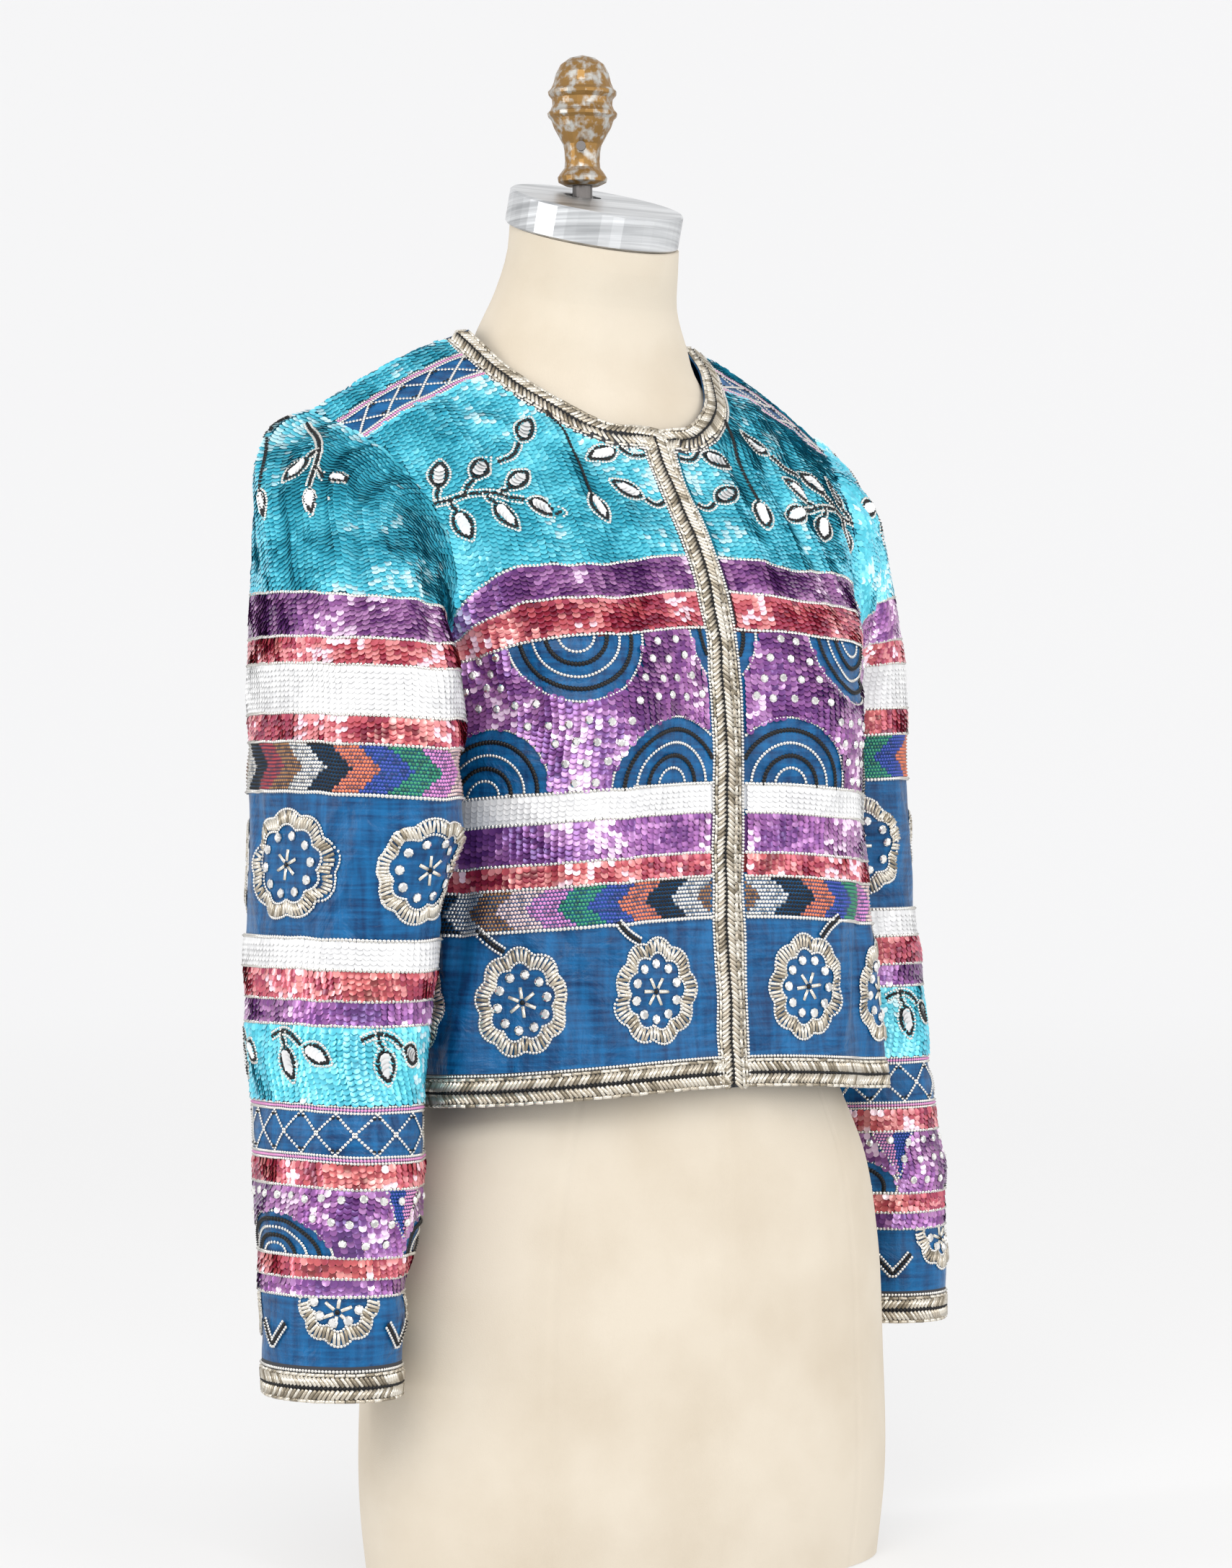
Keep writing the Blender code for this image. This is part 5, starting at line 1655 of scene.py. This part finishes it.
def body_panels():
    """The right front, the left front and the back."""
    made = []
    for side, name in ((-1, "front_right"), (1, "front_left")):
        panel = Panel(name, side, front_grid(side), side, 0, 21 + side, BODY_RELIEF, FRONT_CREASES)
        edge, hem = panel.grid[:, 0], panel.grid[0, 3:]
        panel.borders = [edge]
        panel.trims = [(edge, panel.grid[:, 12] - edge), (hem, panel.grid[6, 3:] - hem)]
        panel.shoulder = lambda col: np.ones(len(col), bool)
        panel.yokes = [yoke_of(panel, 0, FRONT_COLUMNS, NECK_SKIP)]
        made.append(panel)
    back = Panel("back", 0, back_grid(), -1, BACK_COLUMNS, 25, BODY_RELIEF, BACK_CREASES)
    first, last = BACK_COLUMNS - NECK_COLUMNS, BACK_COLUMNS + NECK_COLUMNS
    neck, hem = back.grid[-1, first : last + 1], back.grid[0]
    back.borders = [neck]
    back.trims = [(neck, back.grid[-7, first : last + 1] - neck), (hem, back.grid[6] - hem)]
    back.shoulder = lambda col: (col < first - 2) | (col > last + 2)
    back.yokes = [yoke_of(back, 0, first, 0.0, NECK_SKIP), yoke_of(back, last, 2 * BACK_COLUMNS, NECK_SKIP)]
    return [*made, back]


def yoke_of(panel, first, last, skip, leave=0.0):
    """Length of a shoulder edge, and a finder for points a drop `d` under it at a run `x` along it."""
    run = run_along(panel.grid[-1, first : last + 1])
    index = np.arange(panel.grid.shape[1])

    def finder(x, d):
        x = np.asarray(x) + skip
        col = np.interp(x, run, np.arange(first, last + 1))
        heights = np.array([np.interp(col, index, h) for h in panel.h])
        t, r, _ = rows_at(heights, heights[-1] - d)
        p, n, _, _ = panel.sample(r + np.clip(t, 0, 1), col)
        return p, n, (x >= 0) & (x <= run[-1])

    return float(run[-1] - skip - leave), finder


def sleeve_panels():
    """The right sleeve and the left one."""
    made = []
    middle = SLEEVE_COLUMNS // 2
    for side, name, table, reach in (
        (-1, "sleeve_right", RIGHT_SLEEVE, RIGHT_CAP_REACH),
        (1, "sleeve_left", LEFT_SLEEVE, LEFT_CAP_REACH),
    ):
        grid = sleeve_grid(side, table, reach)
        panel = Panel(name, side, grid, -side, middle, 31 + side, SLEEVE_RELIEF, SLEEVE_CREASES)
        cuff = panel.grid[0]
        panel.trims = [(cuff, panel.grid[6] - cuff)]
        made.append(panel)
    return made


# The dress form
FORM_ROWS = 110
FORM_COLUMNS = 360
FORM_SEAMS = (-90.0, 90.0, -52.0, -128.0, 35.0, 145.0)  # directions of the canvas seams, in degrees
SEAM_DEPTH = 0.0004
SEAM_WIDE = 0.6  # degrees
SEAM_RIDGE = 0.00012  # height of the ridges beside a seam
RIDGE_AWAY = 1.6  # degrees
RIDGE_WIDE = 0.8
SEAM_TOP = 0.69  # the seams fade out below this height
SEAM_FADE = 0.05


def form_point_rings(rows, columns):
    """Rings of points up the form's torso."""
    names = ("tilt", "side", "front", "back", "n", "z")
    places = np.array([row["z"] for row in FORM_SECTIONS])
    at = np.unique(np.concatenate([np.linspace(places[0], places[-1], rows), places]))
    fields = curve_through(FORM_SECTIONS, names, places, at).T
    tilt, side, front, back, power, z = (field[:, None] for field in fields)
    turn = np.arange(columns) / columns * 2 * math.pi
    x = side * np.sign(np.cos(turn)) * np.abs(np.cos(turn)) ** (2 / power)
    y = (back - front) / 2 * np.sign(np.sin(turn)) * np.abs(np.sin(turn)) ** (2 / power)
    return np.stack([x, (front + back) / 2 + y, z + y * np.tan(np.radians(tilt))], axis=-1)


def torso(canvas):
    """The form's torso, with fine dents along its seams."""
    grid = form_point_rings(FORM_ROWS, FORM_COLUMNS)
    normals = unit(np.cross(np.roll(grid, -1, axis=1) - np.roll(grid, 1, axis=1), np.gradient(grid, axis=0)))
    turn = np.degrees(np.arange(FORM_COLUMNS) / FORM_COLUMNS * 2 * math.pi)
    dent = np.zeros(grid.shape[:2])
    for seam in FORM_SEAMS:
        away = np.abs((turn - seam + 180) % 360 - 180)
        ridge = SEAM_RIDGE * np.exp(-(((away - RIDGE_AWAY) / RIDGE_WIDE) ** 2))
        dent += ridge - SEAM_DEPTH * np.exp(-((away / SEAM_WIDE) ** 2))
    dent *= np.clip((SEAM_TOP - grid[..., 2]) / SEAM_FADE, 0, 1)
    points = (grid + normals * dent[..., None]).reshape(-1, 3)
    faces = quads_of(len(grid), FORM_COLUMNS, closed=True)
    faces += [tuple(range(FORM_COLUMNS))[::-1], tuple(range(len(points) - FORM_COLUMNS, len(points)))]
    thing = smooth_object("form_torso_looks", points, faces, [canvas])
    thing.data.set_sharp_from_angle(angle=math.radians(50))
    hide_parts("form_torso")
    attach(thing, "root")
    return thing


def metal_materials():
    """Brushed metal of the neck cap, worn paint of the finial, and dull steel of its stem and screw."""
    brushed = surface("brushed_metal_looks", 0.5, 1.0)
    tree = brushed.node_tree
    place = tree.nodes.new("ShaderNodeTexCoord").outputs["Object"]
    grooves = streaked(tree, place, (9, 9, 420), 4)
    rough = add_node(tree, "MapRange", Value=grooves, To_Min=0.26, To_Max=0.50)
    colour = ramp(tree, grooves, 0.34, (0.42, 0.43, 0.44), 0.62, (0.70, 0.71, 0.72))
    feed(brushed, Roughness=rough.outputs["Result"], Base_Color=colour)
    paint = surface("worn_paint_looks", 0.42, 0.75)
    tree = paint.node_tree
    flakes = noise(tree, tree.nodes.new("ShaderNodeTexCoord").outputs["Object"], 185, 8)
    feed(paint, Base_Color=ramp(tree, flakes, 0.46, (0.27, 0.150, 0.045), 0.64, (0.46, 0.45, 0.42)))
    steel = plain("dull_steel_looks", (0.14, 0.13, 0.125), 0.40, 1.0)
    return brushed, paint, steel


def repaint(name, material):
    """Gives a carried node a new finish, with its sharp edges kept."""
    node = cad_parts[name]
    node.data.materials.clear()
    node.data.materials.append(material)
    node.data.shade_smooth()
    node.data.set_sharp_from_angle(angle=math.radians(42))


def aimed(place, aim):
    """Rotation of a lamp or camera at `place` that looks at `aim`."""
    return (Vector(aim) - Vector(place)).to_track_quat("-Z", "Y").to_euler()


def light(name, place, size, power):
    """A soft lamp aimed at the jacket that doesn't show itself."""
    data = bpy.data.lights.new(name, "AREA")
    data.shape = "RECTANGLE"
    data.size, data.size_y = size
    data.energy = power
    thing = bpy.data.objects.new(name, data)
    thing.location = place
    thing.rotation_euler = aimed(place, (0, 0, 0.5))
    thing.visible_camera = False
    bpy.context.scene.collection.objects.link(thing)


# Floor and wall of the studio, in metres, and the camera that the photograph was fitted with
FLOOR_Z = -0.0005
FLOOR_REACH = 7.0
BEND = 5.0
WALL_TOP = 16.0
FLOOR_COLUMNS = 96
CAMERA_AIM = (0, 0.0215, 0.48)
CAMERA_AZIMUTH = 35  # degrees towards the wearer's right
CAMERA_DISTANCE = 2.8
LENS = 104.3  # mm, on a sensor 36 mm wide

# Lamps: where each stands, its width and height, and its power in watts
LAMPS = named(
    "name place size power",
    ("key", (-2.4, -2.4, 2.6), (1.8, 1.8), 64),
    ("strip", (-0.3, -3.0, 0.75), (0.3, 2.0), 17),
    ("fill", (1.8, -2.6, 1.2), (1.6, 1.6), 22),
    ("side", (-2.7, 0.6, 0.9), (0.3, 2.0), 20),
)


def floor_material():
    """Pale paper, darker near the object as painted shade and lighter away from it."""
    glow = dict(Emission_Color=(0.97, 0.97, 0.975, 1), Emission_Strength=0.46)
    material = plain("pale_floor", (0.88, 0.88, 0.885), 0.95, Specular_IOR_Level=0.1, **glow)
    tree = material.node_tree
    reach = tree.nodes.new("ShaderNodeVectorMath")
    reach.operation = "LENGTH"
    tree.links.new(tree.nodes.new("ShaderNodeNewGeometry").outputs["Position"], reach.inputs[0])
    # Painted shade: the floor's colour is darker near the object
    share = add_node(tree, "MapRange", Value=reach.outputs["Value"], From_Min=0.6, From_Max=9.0)
    share.interpolation_type = "SMOOTHSTEP"
    colour = ramp(tree, share.outputs["Result"], 0, (0.40, 0.398, 0.395), 1, (0.47, 0.47, 0.472))
    feed(material, Base_Color=colour)
    return material


def sweep():
    """A pale floor that turns up into a wall far from the object, all round."""
    profile = [(r, FLOOR_Z) for r in np.linspace(0.5, FLOOR_REACH, 8)]
    for a in np.linspace(0, math.pi / 2, 25)[1:]:
        profile.append((FLOOR_REACH + BEND * math.sin(a), BEND - (BEND - FLOOR_Z) * math.cos(a)))
    profile.append((FLOOR_REACH + BEND, WALL_TOP))
    points = np.concatenate([[[0.0, 0.0, FLOOR_Z]], *(circle(FLOOR_COLUMNS, r, z) for r, z in profile)])
    faces = [(0, 1 + c, 1 + (c + 1) % FLOOR_COLUMNS) for c in range(FLOOR_COLUMNS)]
    for quad in quads_of(len(profile), FLOOR_COLUMNS, closed=True):
        faces.append(tuple(1 + corner for corner in quad[::-1]))
    thing = smooth_object("floor", points, faces, [floor_material()])
    thing.visible_diffuse = False
    thing.visible_glossy = False
    thing.visible_shadow = False
    return thing


def light_of_the_room():
    """Pale surroundings with soft darker patches for the sequins to mirror."""
    world = bpy.data.worlds.new("studio")
    bpy.context.scene.world = world
    world.use_nodes = True
    tree = world.node_tree
    patches = noise(tree, tree.nodes.new("ShaderNodeTexCoord").outputs["Generated"], 5.0, 1.0)
    tones = ramp(tree, patches, 0.40, (0.66, 0.66, 0.67), 0.58, (1.32, 1.32, 1.32))
    tree.links.new(tones, tree.nodes["Background"].inputs["Color"])
    tree.nodes["Background"].inputs["Strength"].default_value = 0.95


def set_the_stage():
    """Room, floor, lamps and camera."""
    light_of_the_room()
    thing = sweep()
    for lamp in LAMPS:
        light(**lamp)
    camera = bpy.data.objects.new("camera", bpy.data.cameras.new("camera"))
    azimuth = math.radians(CAMERA_AZIMUTH)
    x, y, z = CAMERA_AIM
    x, y = x - CAMERA_DISTANCE * math.sin(azimuth), y - CAMERA_DISTANCE * math.cos(azimuth)
    camera.location = (x, y, z)
    camera.rotation_euler = aimed(camera.location, CAMERA_AIM)
    camera.data.lens = LENS
    camera.data.sensor_width = 36
    bpy.context.scene.collection.objects.link(camera)
    bpy.context.scene.camera = camera
    bpy.context.scene.view_settings.view_transform = "Standard"


def sew(panel, materials):
    """All the sewn work of a cloth piece: one object for each kind."""
    piles = {"sequins": Pile(), "beads": Pile(), "bugles": Pile()}
    dress = dress_body if panel.yokes else dress_sleeve
    dress(panel, *piles.values())
    for edge, inward in panel.trims:
        trim(panel, piles["bugles"], edge, unit(inward))
    sewn = []
    for kind, pile in piles.items():
        thing = pile.build(f"{panel.name}_{kind}", materials)
        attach(thing, "root")
        sewn.append(thing)
    return sewn


def main():
    """Builds the form, the cloth pieces with their sewn work, and the studio."""
    materials = make_materials()
    silk = silk_material()
    canvas = canvas_material()
    brushed, paint, steel = metal_materials()
    form = torso(canvas)
    repaint("neck_cap", brushed)
    repaint("finial", paint)
    repaint("finial_stem", steel)
    repaint("set_screw", steel)
    fronts_and_back, sleeves = body_panels(), sleeve_panels()
    for panel in fronts_and_back + sleeves:
        bands, bare = (SLEEVE_BANDS, SLEEVE_BARE) if panel in sleeves else (BODY_BANDS, BODY_BARE)
        shell(panel, silk, materials, ground_of(panel, bands, bare))
        sew(panel, materials)
    set_the_stage()


main()
